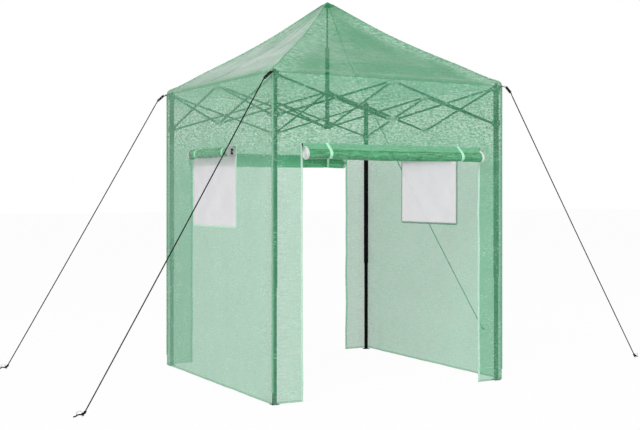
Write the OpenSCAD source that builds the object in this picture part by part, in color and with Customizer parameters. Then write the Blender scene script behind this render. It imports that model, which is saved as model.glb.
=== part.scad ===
// Pop-up greenhouse: a folding steel frame under a fitted cover of woven cloth.
// Millimetres, +Z up, ground at z = 0, origin in the middle of the four legs.
// The front door faces -Y, and the back door faces +Y.

/* [Frame] */
// Distance between the centres of two neighbouring legs
leg_spacing = 1544; // [1300:1:1800]
// Height of the eaves above the ground
eave_h = 1830; // [1780:1:2100]
// Height of the roof's peak above the ground
peak_h = 2405; // [2300:1:2800]
// Width of the square upper leg tube
upper_leg_w = 25; // [23:0.5:28]
// Width of the square lower leg tube that slides in it
lower_leg_w = 20; // [16:0.5:20]
// Height of the upper leg tube's lower end
upper_leg_low = 641; // [500:1:800]
// Wall of the leg tubes
leg_wall = 1.2; // [0.8:0.1:1.5]

/* [Scissor trusses] */
// Height of a truss from its lower row of pivots to its upper row
truss_h = 214; // [150:1:240]
// Depth of a truss bar, seen from the side
bar_h = 11; // [9:1:16]
// Thickness of a truss bar
bar_t = 7; // [6:0.5:9]
// Gap between the two bars of a crossing
bar_gap = 2; // [1:0.5:3]
// Distance from the centre of a leg, joint or hub to its pivots
pivot_reach = 32; // [30:1:36]
// Diameter of the pivot pins
pin_d = 5; // [4:0.5:6]

/* [Centre pole] */
// Diameter of the centre pole
pole_d = 28; // [24:1:30]
// Height of the centre pole's upper end
pole_top = 2108; // [2000:1:2150]
// Diameter of the rod that slides in the centre pole
rod_d = 12; // [8:1:14]

/* [Cover] */
// Distance between opposite walls, over the cloth
cover_w = 1598; // [1590:1:1860]
// Thickness of the cloth panels
cloth_t = 2; // [1.5:0.5:3]
// Height of the walls' lower hem above the ground
hem_h = 5; // [2:1:20]
// How far the roof's corner seams sag below a straight line
hip_sag = 24; // [0:1:40]
// How far the middle of a roof panel sags below its corner seams
panel_sag = 16; // [0:1:30]

/* [Doors and windows] */
// Clear width between the zips of a doorway
door_w = 1218; // [900:1:1250]
// Height of the middle of a rolled-up door
door_roll_h = 1382; // [1200:1:1450]
// Diameter of a rolled-up door
door_roll_d = 62; // [50:1:90]
// Width of a window
window_w = 644; // [400:1:700]
// Height of a window
window_h = 440; // [300:1:500]
// Height of a window's lower edge above the ground
window_low = 966; // [800:1:1000]
// Diameter of a rolled-up window flap
flap_roll_d = 60; // [40:1:70]

/* [Guy ropes] */
// Diameter of a guy rope
rope_d = 7; // [4:0.5:8]
// How far the left pegs stand out from the left wall
left_peg_reach = 973; // [600:1:1400]
// How far the right pegs stand out from the right wall
right_peg_reach = 1376; // [600:1:1700]
// How far the front pegs stand behind the front wall
front_peg_back = 233; // [0:1:600]
// How far the back pegs stand behind the back wall
back_peg_back = 369; // [0:1:800]

/* [Hidden] */
$fn = 48;

leg = leg_spacing / 2;
wall = cover_w / 2;

// Upper and lower pivots: a joint of this height sits around each
joint_h = 34;
truss_top = eave_h - joint_h / 2;
truss_low = truss_top - truss_h;

// Legs: the lower tube reaches up inside the upper one, and a spring button holds it
foot_w = 42;
foot_t = 3;
foot_hole_d = 6;
foot_hole_at = 15;
leg_overlap = 260;
lower_leg_top = upper_leg_low + leg_overlap;
button_h = upper_leg_low + 79;
button_d = 7;
button_out = 3;

// Brackets, joints and hubs
bracket_w = 34;
bracket_lid_t = 6;
joint_w = 28;
hub_d = 46;
hub_fork_start = 19;
cheek_t = 3.5;
cheek_h = 16;
cheek_end = 8;
leg_cap_d = 18;
leg_cap_h = 16;

// Bars: each is as long as the run between its two pivots
bar_side = (bar_t + bar_gap) / 2;
bar_run = leg - 2 * pivot_reach;
bar_len = sqrt(bar_run * bar_run + truss_h * truss_h);
bar_tilt = atan2(truss_h, bar_run);
pin_head_d = 8;
pin_head_t = 2;
washer_d = 22;
end_grip = bar_t + 2 * cheek_t;
cross_grip = 2 * bar_t + bar_gap;
truss_mid = (truss_top + truss_low) / 2;

// Centre pole: it stands on the lower hub, and the cap on its rod holds up the peak
pole_low = truss_low + joint_h / 2;
pole_wall = 1.2;
pole_cap_t = 8;
rod_low = truss_top + 80;
cap_d = 52;
cap_tip_d = 8;
cap_rim_t = 4;
cap_cone_h = 21;
cap_low = peak_h - 33;

// Roof: the cloth rises over the top of each leg, over a stretch of the corner seam
roof_rise = peak_h - eave_h;
roof_rows = 12;
roof_columns = 10;
row_crowding = 1.6;
seam_straight_from = 0.8;
corner_lift = 13;
corner_lift_at = 0.95;
corner_lift_above = 0.08;
corner_lift_below = 0.03;
corner_lift_spread = 24;

// Walls, doors and window flaps
wall_top = eave_h - cloth_t;
zip_w = 10;
zip_t = 3;
strip_inner = door_w / 2 + zip_w;
door_roll_len = door_w + 4;
flap_roll_len = window_w - 39;
flap_roll_x = 26;
flap_roll_h = window_low + window_h;

// Ties: each starts at the wall, this high above its roll's middle
tie_w = 20;
tie_t = 1.5;
door_tie_rise = 60;
flap_tie_rise = 36;
door_tie_x = [-456, 456];
flap_tie_x = [flap_roll_x - 208, flap_roll_x + 208];

// Guy ropes: sx is -1 at the left and 1 at the right, sy is -1 at the front and 1 at the back
loop_len = 24;
loop_drop = 6;
loop_w = 14;
loop_t = 2;
tightener_len = 52;
tightener_w = 16;
tightener_t = 7;
tightener_lean = 0.45;
slot_w = 9;
slot_len = 7;
slot_at = [0.3, 0.55, 0.8];
knot_d = 13;
knot_h = 20;
peg_d = 5;
peg_gap = knot_d / 2 + peg_d / 2;
peg_h = 16;
hook_r = 16;
hook_end_h = 8;

// ---------------------------------------------------------------- placing

// Mirrors a piece of the front left corner to another corner
module corner(sx, sy) {
    mirror([sx > 0 ? 1 : 0, 0, 0]) mirror([0, sy > 0 ? 1 : 0, 0]) children();
}

module each_corner() {
    for (sx = [-1, 1]) for (sy = [-1, 1]) corner(sx, sy) children();
}

// Turns a piece of the front side to another side: 0 front, 1 right, 2 back, 3 left
module side(k) {
    rotate([0, 0, 90 * k]) children();
}

module each_side() {
    for (k = [0:3]) side(k) children();
}

// A box from its lowest corner to its highest
module box(low, high) {
    translate(low) cube(high - low);
}

module square_tube(w, thickness, low, high) {
    difference() {
        translate([-w / 2, -w / 2, low]) cube([w, w, high - low]);
        translate([thickness - w / 2, thickness - w / 2, low - 1])
            cube([w - 2 * thickness, w - 2 * thickness, high - low + 2]);
    }
}

// ---------------------------------------------------------------- legs

module upper_leg() {
    color("#17191a") translate([-leg, -leg, 0]) difference() {
        square_tube(upper_leg_w, leg_wall, upper_leg_low, eave_h);
        translate([0, 0, button_h]) rotate([-90, 0, 0]) cylinder(d = button_d, h = upper_leg_w);
    }
}

module lower_leg() {
    color("#202224") translate([-leg, -leg, 0]) {
        square_tube(lower_leg_w, leg_wall, foot_t, lower_leg_top);
        translate([0, lower_leg_w / 2 - leg_wall, button_h]) rotate([-90, 0, 0])
            cylinder(d = button_d, h = (upper_leg_w - lower_leg_w) / 2 + leg_wall + button_out);
    }
}

module foot_plate() {
    translate([-leg, -leg, 0]) difference() {
        translate([-foot_w / 2, -foot_w / 2, 0]) cube([foot_w, foot_w, foot_t]);
        for (s = [-1, 1]) translate([s * foot_hole_at, s * foot_hole_at, -1])
            cylinder(d = foot_hole_d, h = foot_t + 2);
    }
}

module foot_plates() {
    color("#202224") each_corner() foot_plate();
}

// ---------------------------------------------------------------- brackets and hubs

// Two cheeks that hold a bar's end. They reach out along +X from start, and the bar's
// middle plane is at y = offset.
module fork(start, offset) {
    for (s = [-1, 1]) translate([0, offset + s * (bar_t + cheek_t) / 2, 0]) difference() {
        translate([start, -cheek_t / 2, -cheek_h / 2])
            cube([pivot_reach + cheek_end - start, cheek_t, cheek_h]);
        translate([pivot_reach, -cheek_t, 0]) rotate([-90, 0, 0])
            cylinder(d = pin_d, h = 2 * cheek_t);
    }
}

// The two forks of a leg: one for the front bars, and one for the side bars
module leg_forks(offset) {
    fork(bracket_w / 2, offset);
    mirror([1, -1, 0]) fork(bracket_w / 2, offset);
}

module leg_top_bracket() {
    translate([-leg, -leg, 0]) {
        difference() {
            translate([-bracket_w / 2, -bracket_w / 2, truss_top - joint_h / 2])
                cube([bracket_w, bracket_w, joint_h + bracket_lid_t]);
            translate([-upper_leg_w / 2, -upper_leg_w / 2, truss_top - joint_h / 2 - 1])
                cube([upper_leg_w, upper_leg_w, joint_h + 1]);
        }
        translate([0, 0, eave_h]) cylinder(d = leg_cap_d, h = leg_cap_h);
        translate([0, 0, truss_top]) leg_forks(bar_side);
    }
}

module leg_top_brackets() {
    color("#1d1f20") each_corner() leg_top_bracket();
}

module leg_slider() {
    translate([-leg, -leg, truss_low]) {
        square_tube(bracket_w, (bracket_w - upper_leg_w) / 2, -joint_h / 2, joint_h / 2);
        leg_forks(-bar_side);
    }
}

module leg_sliders() {
    color("#1d1f20") each_corner() leg_slider();
}

// A joint in the middle of a side: it holds the two bars of that side and one inner bar
module truss_joint(side_offset, inner_offset) {
    translate([0, -leg, 0]) {
        translate([-joint_w / 2, -joint_w / 2, -joint_h / 2]) cube([joint_w, joint_w, joint_h]);
        fork(joint_w / 2, side_offset);
        mirror([1, 0, 0]) fork(joint_w / 2, side_offset);
        rotate([0, 0, 90]) fork(joint_w / 2, -inner_offset);
    }
}

module upper_truss_joints() {
    color("#c9ccc8") each_side() translate([0, 0, truss_top]) truss_joint(-bar_side, bar_side);
}

module lower_truss_joints() {
    color("#c9ccc8") each_side() translate([0, 0, truss_low]) truss_joint(bar_side, -bar_side);
}

// A hub holds one inner bar from each side, in a fork towards the middle of that side
module hub(offset) {
    cylinder(d = hub_d, h = joint_h, center = true);
    each_side() rotate([0, 0, -90]) fork(hub_fork_start, offset);
}

module upper_hub() {
    color("#1d1f20") translate([0, 0, truss_top]) difference() {
        hub(-bar_side);
        cylinder(d = pole_d, h = joint_h + 2, center = true);
    }
}

module lower_hub() {
    color("#1d1f20") translate([0, 0, truss_low]) hub(bar_side);
}

// ---------------------------------------------------------------- trusses

// A bar along +X with its first pivot at the origin, turned up by tilt
module bar(tilt) {
    rotate([0, -tilt, 0]) rotate([90, 0, 0]) linear_extrude(bar_t, center = true) difference() {
        union() {
            translate([0, -bar_h / 2]) square([bar_len, bar_h]);
            circle(d = bar_h);
            translate([bar_len, 0]) circle(d = bar_h);
        }
        for (at = [0, bar_len / 2, bar_len]) translate([at, 0]) circle(d = pin_d);
    }
}

// The crossed bars of half a side, from the front left leg to the middle of the front
module half_side_bars() {
    translate([pivot_reach - leg, bar_side - leg, truss_top]) bar(-bar_tilt);
    translate([pivot_reach - leg, -bar_side - leg, truss_low]) bar(bar_tilt);
}

// The crossed bars from the middle of the front to the centre of the frame
module inner_bars() {
    translate([bar_side, pivot_reach - leg, truss_top]) rotate([0, 0, 90]) bar(-bar_tilt);
    translate([-bar_side, pivot_reach - leg, truss_low]) rotate([0, 0, 90]) bar(bar_tilt);
}

module side_truss(k) {
    color("#1b1d1e") side(k) {
        half_side_bars();
        mirror([1, 0, 0]) half_side_bars();
    }
}

module inner_truss() {
    color("#1b1d1e") each_side() inner_bars();
}

// A pin along Y with a head at each end
module pin(grip) {
    rotate([90, 0, 0]) {
        cylinder(d = pin_d, h = grip, center = true);
        for (s = [-1, 1]) translate([0, 0, s * (grip + pin_head_t) / 2])
            cylinder(d = pin_head_d, h = pin_head_t, center = true);
    }
}

// The five pins of two crossed bars that run along X, from a leg to the middle of a side
module crossing_pins() {
    first = pivot_reach - leg;
    last = -pivot_reach;
    translate([first, bar_side, truss_top]) pin(end_grip);
    translate([last, bar_side, truss_low]) pin(end_grip);
    translate([first, -bar_side, truss_low]) pin(end_grip);
    translate([last, -bar_side, truss_top]) pin(end_grip);
    translate([-leg / 2, 0, truss_mid]) pin(cross_grip);
}

module pivot_pins() {
    color("#9ea2a3") each_side() {
        for (m = [0, 1]) mirror([m, 0, 0]) translate([0, -leg, 0]) crossing_pins();
        rotate([0, 0, 90]) mirror([0, 1, 0]) crossing_pins();
    }
}

module washer() {
    rotate([90, 0, 0]) difference() {
        cylinder(d = washer_d, h = bar_gap, center = true);
        cylinder(d = pin_d, h = bar_gap + 2, center = true);
    }
}

module pivot_washers() {
    color("#e6e8e4") each_side() translate([0, 0, truss_mid]) {
        for (s = [-1, 1]) translate([s * leg / 2, -leg, 0]) washer();
        translate([0, -leg / 2, 0]) rotate([0, 0, 90]) washer();
    }
}

// ---------------------------------------------------------------- centre pole

module centre_pole() {
    color("#17191a") difference() {
        translate([0, 0, pole_low]) cylinder(d = pole_d, h = pole_top - pole_low);
        translate([0, 0, pole_low - 1])
            cylinder(d = pole_d - 2 * pole_wall, h = pole_top - pole_low - pole_cap_t + 1);
        translate([0, 0, pole_top - pole_cap_t - 1]) cylinder(d = rod_d, h = pole_cap_t + 2);
    }
}

module centre_rod() {
    color("#202224") translate([0, 0, rod_low]) cylinder(d = rod_d, h = cap_low - rod_low);
}

module peak_cap() {
    color("#1d1f20") {
        translate([0, 0, cap_low]) cylinder(d = cap_d, h = cap_rim_t);
        translate([0, 0, cap_low + cap_rim_t])
            cylinder(d1 = cap_d, d2 = cap_tip_d, h = cap_cone_h);
    }
}

// ---------------------------------------------------------------- roof

// How far the roof lies off a straight slope: t is 0 at the peak and 1 at the eave, and u is
// -1 and 1 at the corner seams and 0 in the middle of a panel
function seam_dip(t) =
    t < seam_straight_from ? hip_sag * pow(sin(180 * t / seam_straight_from), 1.3) : 0;
function lift_reach(t) = t < corner_lift_at ? corner_lift_above : corner_lift_below;
function seam_lift(t) = corner_lift * exp(-pow((t - corner_lift_at) / lift_reach(t), 2));
function roof_z(u, t) =
    peak_h - roof_rise * t - seam_dip(t) + seam_lift(t) * pow(abs(u), corner_lift_spread)
    - panel_sag * (1 - u * u) * sin(180 * t);
function roof_point(u, t, drop) = [u * t * wall, -t * wall, roof_z(u, t) - drop];

// The rows are closer together near the eave, where the leg tops lift the cloth
function row_t(i) = 1 - pow(1 - i / roof_rows, row_crowding);

module roof_panel() {
    n = roof_columns;
    layer = roof_rows * (n + 1) + 1;
    function at(i, j) = i == 0 ? 0 : 1 + (i - 1) * (n + 1) + j;
    points = [
        for (drop = [0, cloth_t]) each concat(
            [roof_point(0, 0, drop)],
            [for (i = [1:roof_rows]) for (j = [0:n]) roof_point(2 * j / n - 1, row_t(i), drop)])
    ];
    top = [
        for (i = [1:roof_rows]) for (j = [0:n - 1]) each i == 1
            ? [[at(0, 0), at(1, j + 1), at(1, j)]]
            : [[at(i - 1, j), at(i, j + 1), at(i, j)],
               [at(i - 1, j), at(i - 1, j + 1), at(i, j + 1)]]
    ];
    under = [for (f = top) [f[0] + layer, f[2] + layer, f[1] + layer]];
    rim = concat(
        [for (i = [0:roof_rows]) at(i, 0)],
        [for (j = [1:n]) at(roof_rows, j)],
        [for (i = [roof_rows - 1:-1:1]) at(i, n)]);
    edge = [
        for (k = [0:len(rim) - 1]) let (a = rim[k], b = rim[(k + 1) % len(rim)])
            each [[a, b, b + layer], [a, b + layer, a + layer]]
    ];
    polyhedron(points, concat(top, under, edge));
}

module roof(k) {
    color("#7dba93") side(k) roof_panel();
}

// ---------------------------------------------------------------- walls

module side_wall(k) {
    color("#8fc5a3") side(k) difference() {
        box([cloth_t - wall, -wall, hem_h], [wall - cloth_t, cloth_t - wall, wall_top]);
        box([-window_w / 2, -wall - 1, window_low],
            [window_w / 2, cloth_t - wall + 1, window_low + window_h]);
    }
}

module wall_strip(k, s) {
    color("#8fc5a3") side(k) mirror([s > 0 ? 1 : 0, 0, 0])
        box([-wall, -wall, hem_h], [-strip_inner, cloth_t - wall, wall_top]);
}

module header(k) {
    color("#7dba93") side(k)
        box([-strip_inner, -wall, door_roll_h], [strip_inner, cloth_t - wall, wall_top]);
}

module window_mesh(k) {
    color("#dedfdd") side(k)
        box([-window_w / 2, -wall, window_low],
            [window_w / 2, cloth_t - wall, window_low + window_h]);
}

// ---------------------------------------------------------------- rolls, zips and ties

// Cloth rolled up outside a wall, level along X, with its middle at x
module roll(d, length, x, height) {
    translate([x, -wall - d / 2, height]) rotate([0, 90, 0])
        cylinder(d = d, h = length, center = true);
}

module door_roll(k) {
    color("#4fae76") side(k) roll(door_roll_d, door_roll_len, 0, door_roll_h);
}

module flap_roll(k) {
    color("#4fae76") side(k) roll(flap_roll_d, flap_roll_len, flap_roll_x, flap_roll_h);
}

module door_zips() {
    color("#dcefe4") for (k = [0, 2]) side(k) for (s = [0, 1]) mirror([s, 0, 0])
        box([-strip_inner, -wall, hem_h],
            [zip_w - strip_inner, zip_t - wall, door_roll_h]);
}

// The two sides of a strap that leaves the wall, drops onto a roll and goes around its front,
// in the plane across the roll. Angles and points are about the roll's middle: 0 is at the
// wall, 90 above and 180 in front. The arc's points lie just off the roll, so that the flats
// between them clear it.
tie_steps = 32;
function around(r, from, to) =
    let (turn = (to - from) / tie_steps)
    [for (i = [0:tie_steps]) r / cos(turn / 2) * [cos(from + turn * i), sin(from + turn * i)]];
function tie_under(d, rise, leave, end) = concat([[d / 2, rise]], around(d / 2, leave, end));
function tie_over(d, rise, leave, end) = concat(
    [[d / 2, rise] + tie_t * [cos(leave), sin(leave)]], around(d / 2 + tie_t, leave, end));
function reversed(list) = [for (i = [len(list) - 1:-1:0]) list[i]];

// A strap around a roll, from the points of its two sides
module strap(d, height, over, under) {
    translate([-tie_w / 2, -wall - d / 2, height]) rotate([90, 0, 90])
        linear_extrude(tie_w) polygon(concat(over, reversed(under)));
}

// A strap around a door roll: from the roll's underside it comes up again inside the wall
module door_tie() {
    d = door_roll_d;
    rise = door_tie_rise;
    leave = 2 * atan2(rise, d / 2);
    inside = d / 2 + cloth_t;
    low = -around(d / 2, leave, 270)[tie_steps].y;
    over = concat(tie_over(d, rise, leave, 270),
        [[inside + tie_t, -low - tie_t], [inside + tie_t, rise]]);
    under = concat(tie_under(d, rise, leave, 270), [[inside, -low], [inside, rise]]);
    strap(d, door_roll_h, over, under);
}

// A strap around a flap roll: it comes back up between the roll and the wall
module flap_tie() {
    d = flap_roll_d;
    rise = flap_tie_rise;
    leave = 2 * atan2(rise, d / 2);
    strap(d, flap_roll_h, tie_over(d, rise, leave, 340), tie_under(d, rise, leave, 340));
}

module roll_ties() {
    color("#dcefe4") {
        for (k = [0, 2]) side(k) for (x = door_tie_x)
            translate([x, 0, 0]) door_tie();
        for (k = [1, 3]) side(k) for (x = flap_tie_x)
            translate([x, 0, 0]) flap_tie();
    }
}

// ---------------------------------------------------------------- guy ropes

function eave_corner(sx, sy) = [sx * wall, sy * wall, eave_h];
function peg_at(sx, sy) = [
    sx * (wall + (sx < 0 ? left_peg_reach : right_peg_reach)),
    sy < 0 ? front_peg_back - wall : wall + back_peg_back,
    0
];
function loop_run(sx, sy) = [sx * loop_len / sqrt(2), sy * loop_len / sqrt(2), -loop_drop];
function loop_end(sx, sy) = eave_corner(sx, sy) + loop_run(sx, sy);
function knot_at(sx, sy) = peg_at(sx, sy) + [0, 0, knot_h];

// A tightener leans out from the line to the peg, because the rope turns on its way through
function unit(v) = v / norm(v);
function away(v) = unit([v.x, v.y, 0]);
function leaning(v) = unit(unit(v) + tightener_lean * away(v));
function tightener_run(sx, sy) = tightener_len * leaning(knot_at(sx, sy) - loop_end(sx, sy));
function rope_top(sx, sy) = loop_end(sx, sy) + tightener_run(sx, sy);
function rope_run(sx, sy) = knot_at(sx, sy) - rope_top(sx, sy);

// Puts a piece that lies along +Z on a run from a point
module along(start, run) {
    translate(start) rotate([0, acos(run.z / norm(run)), atan2(run.y, run.x)]) children();
}

module each_rope() {
    for (sx = [-1, 1]) for (sy = [-1, 1]) let ($sx = sx, $sy = sy) children();
}

module eave_loops() {
    color("#3d4a42") each_rope() along(eave_corner($sx, $sy), loop_run($sx, $sy))
        translate([-loop_t / 2, -loop_w / 2, 0])
            cube([loop_t, loop_w, norm(loop_run($sx, $sy))]);
}

module rope_tighteners() {
    color("#17191a") each_rope() along(loop_end($sx, $sy), tightener_run($sx, $sy)) difference() {
        translate([-tightener_w / 2, -tightener_t / 2, 0])
            cube([tightener_w, tightener_t, tightener_len]);
        for (at = slot_at)
            translate([-slot_w / 2, -tightener_t, at * tightener_len - slot_len / 2])
                cube([slot_w, 2 * tightener_t, slot_len]);
    }
}

module guy_ropes() {
    color("#222426") each_rope() {
        along(rope_top($sx, $sy), rope_run($sx, $sy))
            cylinder(d = rope_d, h = norm(rope_run($sx, $sy)));
        translate(knot_at($sx, $sy)) sphere(d = knot_d);
    }
}

// A wire peg whose hook bends over, away from the building
module ground_pegs() {
    color("#1d1f20") each_rope() translate(peg_at($sx, $sy))
        rotate([0, 0, atan2(rope_run($sx, $sy).y, rope_run($sx, $sy).x)])
        translate([peg_gap, 0, 0]) {
            cylinder(d = peg_d, h = peg_h);
            translate([hook_r, 0, peg_h]) rotate([90, 0, 0])
                rotate_extrude(angle = 180) translate([hook_r, 0]) circle(d = peg_d);
            translate([2 * hook_r, 0, hook_end_h]) cylinder(d = peg_d, h = peg_h - hook_end_h);
        }
}

// ---------------------------------------------------------------- the parts

corner(-1, -1) upper_leg();  // front_left_upper_leg
corner(1, -1) upper_leg();  // front_right_upper_leg
corner(-1, 1) upper_leg();  // back_left_upper_leg
corner(1, 1) upper_leg();  // back_right_upper_leg
corner(-1, -1) lower_leg();  // front_left_lower_leg
corner(1, -1) lower_leg();  // front_right_lower_leg
corner(-1, 1) lower_leg();  // back_left_lower_leg
corner(1, 1) lower_leg();  // back_right_lower_leg
foot_plates();
leg_top_brackets();
leg_sliders();
side_truss(0);  // front_truss
side_truss(1);  // right_truss
side_truss(2);  // back_truss
side_truss(3);  // left_truss
inner_truss();
upper_truss_joints();
lower_truss_joints();
upper_hub();
lower_hub();
pivot_pins();
pivot_washers();
centre_pole();
centre_rod();
peak_cap();
roof(0);  // front_roof
roof(1);  // right_roof
roof(2);  // back_roof
roof(3);  // left_roof
side_wall(3);  // left_wall
side_wall(1);  // right_wall
wall_strip(0, -1);  // front_left_strip
wall_strip(0, 1);  // front_right_strip
header(0);  // front_header
wall_strip(2, 1);  // back_left_strip
wall_strip(2, -1);  // back_right_strip
header(2);  // back_header
door_roll(0);  // front_door_roll
door_roll(2);  // back_door_roll
door_zips();
window_mesh(3);  // left_window_mesh
window_mesh(1);  // right_window_mesh
flap_roll(3);  // left_flap_roll
flap_roll(1);  // right_flap_roll
roll_ties();
eave_loops();
rope_tighteners();
guy_ropes();
ground_pegs();
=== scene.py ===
# %% [markdown]
# # A pop-up greenhouse in woven film
#
# The real object is a folding steel frame, about 1.6 m square and 2.4 m high at the peak, under a
# fitted cover of green woven polyethylene film. Its two doors and two window flaps are rolled up and
# tied, and four guy ropes hold its corners. The frame is packed already, so this lesson makes what the
# frame alone doesn't show: film that creases and lets light through, zips, straps, ropes and metal
# with rounded edges. Everything is in metres, with the ground at zero.

# %% Load the frame
import math
import bmesh
import bpy
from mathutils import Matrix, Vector, noise


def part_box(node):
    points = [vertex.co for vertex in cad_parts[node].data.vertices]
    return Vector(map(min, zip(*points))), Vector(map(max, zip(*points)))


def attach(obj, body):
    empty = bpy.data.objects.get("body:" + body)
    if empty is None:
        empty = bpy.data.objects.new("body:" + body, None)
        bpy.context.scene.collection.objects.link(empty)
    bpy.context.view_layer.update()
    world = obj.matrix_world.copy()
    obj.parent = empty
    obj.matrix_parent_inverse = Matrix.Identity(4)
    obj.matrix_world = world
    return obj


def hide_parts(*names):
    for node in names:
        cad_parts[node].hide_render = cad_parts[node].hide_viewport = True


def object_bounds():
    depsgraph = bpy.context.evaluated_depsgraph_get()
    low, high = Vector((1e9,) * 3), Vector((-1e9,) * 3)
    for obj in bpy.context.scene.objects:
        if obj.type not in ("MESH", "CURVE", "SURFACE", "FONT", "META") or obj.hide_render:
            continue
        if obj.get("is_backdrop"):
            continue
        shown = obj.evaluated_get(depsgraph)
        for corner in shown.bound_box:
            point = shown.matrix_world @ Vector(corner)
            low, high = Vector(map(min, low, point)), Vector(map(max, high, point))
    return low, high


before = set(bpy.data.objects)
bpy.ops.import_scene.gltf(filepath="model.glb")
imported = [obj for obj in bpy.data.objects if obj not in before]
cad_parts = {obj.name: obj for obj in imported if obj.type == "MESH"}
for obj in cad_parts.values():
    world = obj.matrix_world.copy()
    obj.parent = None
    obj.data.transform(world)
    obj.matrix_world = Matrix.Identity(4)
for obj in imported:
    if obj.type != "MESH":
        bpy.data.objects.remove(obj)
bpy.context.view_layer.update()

# %% [markdown]
# ## Driving measures
#
# Every place in this script is worked out from the frame's own boxes, so that the looks can't drift
# away from the pieces that carry them. The film's walls stand a little outside the legs, and the
# scissor bars turn about pivots that lie in line with the legs. A rise is how far the seam of a flap
# is above the middle of its roll.

# %% Read the main measures
SHEET = 0.002
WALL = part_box("front_roof")[1].x
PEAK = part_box("front_roof")[1].z
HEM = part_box("left_wall")[0].z
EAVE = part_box("left_wall")[1].z + SHEET
LEG = sum(corner.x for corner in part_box("front_right_upper_leg")) / 2
TRUSS_TOP = sum(corner.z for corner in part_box("upper_hub")) / 2
TRUSS_LOW = sum(corner.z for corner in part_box("lower_hub")) / 2
DOOR_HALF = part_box("front_right_strip")[0].x
DOOR_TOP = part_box("front_header")[0].z
WINDOW_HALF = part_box("left_window_mesh")[1].y
WINDOW_LOW, WINDOW_TOP = (corner.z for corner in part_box("left_window_mesh"))
DOOR_RISE, FLAP_RISE = 0.060, 0.036
FRONT, RIGHT, BACK, LEFT = range(4)
SIDE_NAMES = ["front", "right", "back", "left"]
CORNERS = [(-1, -1), (1, -1), (1, 1), (-1, 1)]
print("wall", round(WALL, 3), "eave", round(EAVE, 3), "peak", round(PEAK, 3), "legs at", round(LEG, 3))

# %% [markdown]
# ## The camera
#
# A product like this is shown from a low eye level at about 30 degrees off its front, with verticals
# kept upright. Tilting the camera would lean them, so it stays level and a small shift moves the frame
# instead, as on a view camera. Coming first, it lets every later step be looked at.

# %% Camera
CAMERA_AT = Vector((-3.391, -5.980, 1.155))
CAMERA_TURN = math.radians(-30.08)
camera = bpy.data.objects.new("camera", bpy.data.cameras.new("camera"))
camera.location = CAMERA_AT
camera.rotation_euler = (math.radians(90), 0, CAMERA_TURN)
camera.data.lens = 59.47
camera.data.shift_x = -0.0265
camera.data.shift_y = -0.0319
camera.data.clip_end = 200
bpy.context.scene.collection.objects.link(camera)
bpy.context.scene.camera = camera
bpy.context.scene.view_settings.view_transform = "Standard"
print("camera distance:", round(CAMERA_AT.length, 2))

# %% [markdown]
# ## Writing shader maths as Python
#
# A finish is a small network of nodes. Wiring each one by hand hides the idea behind it, so a small
# class wraps an output socket and lets plain expressions such as `1 - mask * 0.5` add their own Math
# nodes. Every other node comes from one method, which takes its type, its settings and its inputs.

# %% A wrapped socket and a finish
class Value:
    """A number or a colour that varies over a surface, as the output of a node."""

    def __init__(self, finish, outputs, name=0):
        self.finish = finish
        self.outputs = outputs
        self.socket = outputs[name]

    def out(self, name):
        return Value(self.finish, self.outputs, name)

    def maths(self, operation, *values):
        return self.finish.node("Math", {"operation": operation}, dict(enumerate(values)))

    def __add__(self, other):
        return self.maths("ADD", self, other)

    def __sub__(self, other):
        return self.maths("SUBTRACT", self, other)

    def __rsub__(self, other):
        return self.maths("SUBTRACT", other, self)

    def __mul__(self, other):
        return self.maths("MULTIPLY", self, other)

    def __pow__(self, other):
        return self.maths("POWER", self, other)

    def __abs__(self):
        return self.maths("ABSOLUTE", self)

    __radd__ = __add__
    __rmul__ = __mul__

    def sine(self):
        return self.maths("SINE", self)

    def larger(self, other):
        return self.maths("MAXIMUM", self, other)

    def smaller(self, other):
        return self.maths("MINIMUM", self, other)

    def ramp(self, low, high):
        """0 below low, 1 above high, and smooth between them."""
        values = {"Value": self, "From Min": low, "From Max": high}
        return self.finish.node("MapRange", {"interpolation_type": "SMOOTHSTEP"}, values)


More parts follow.
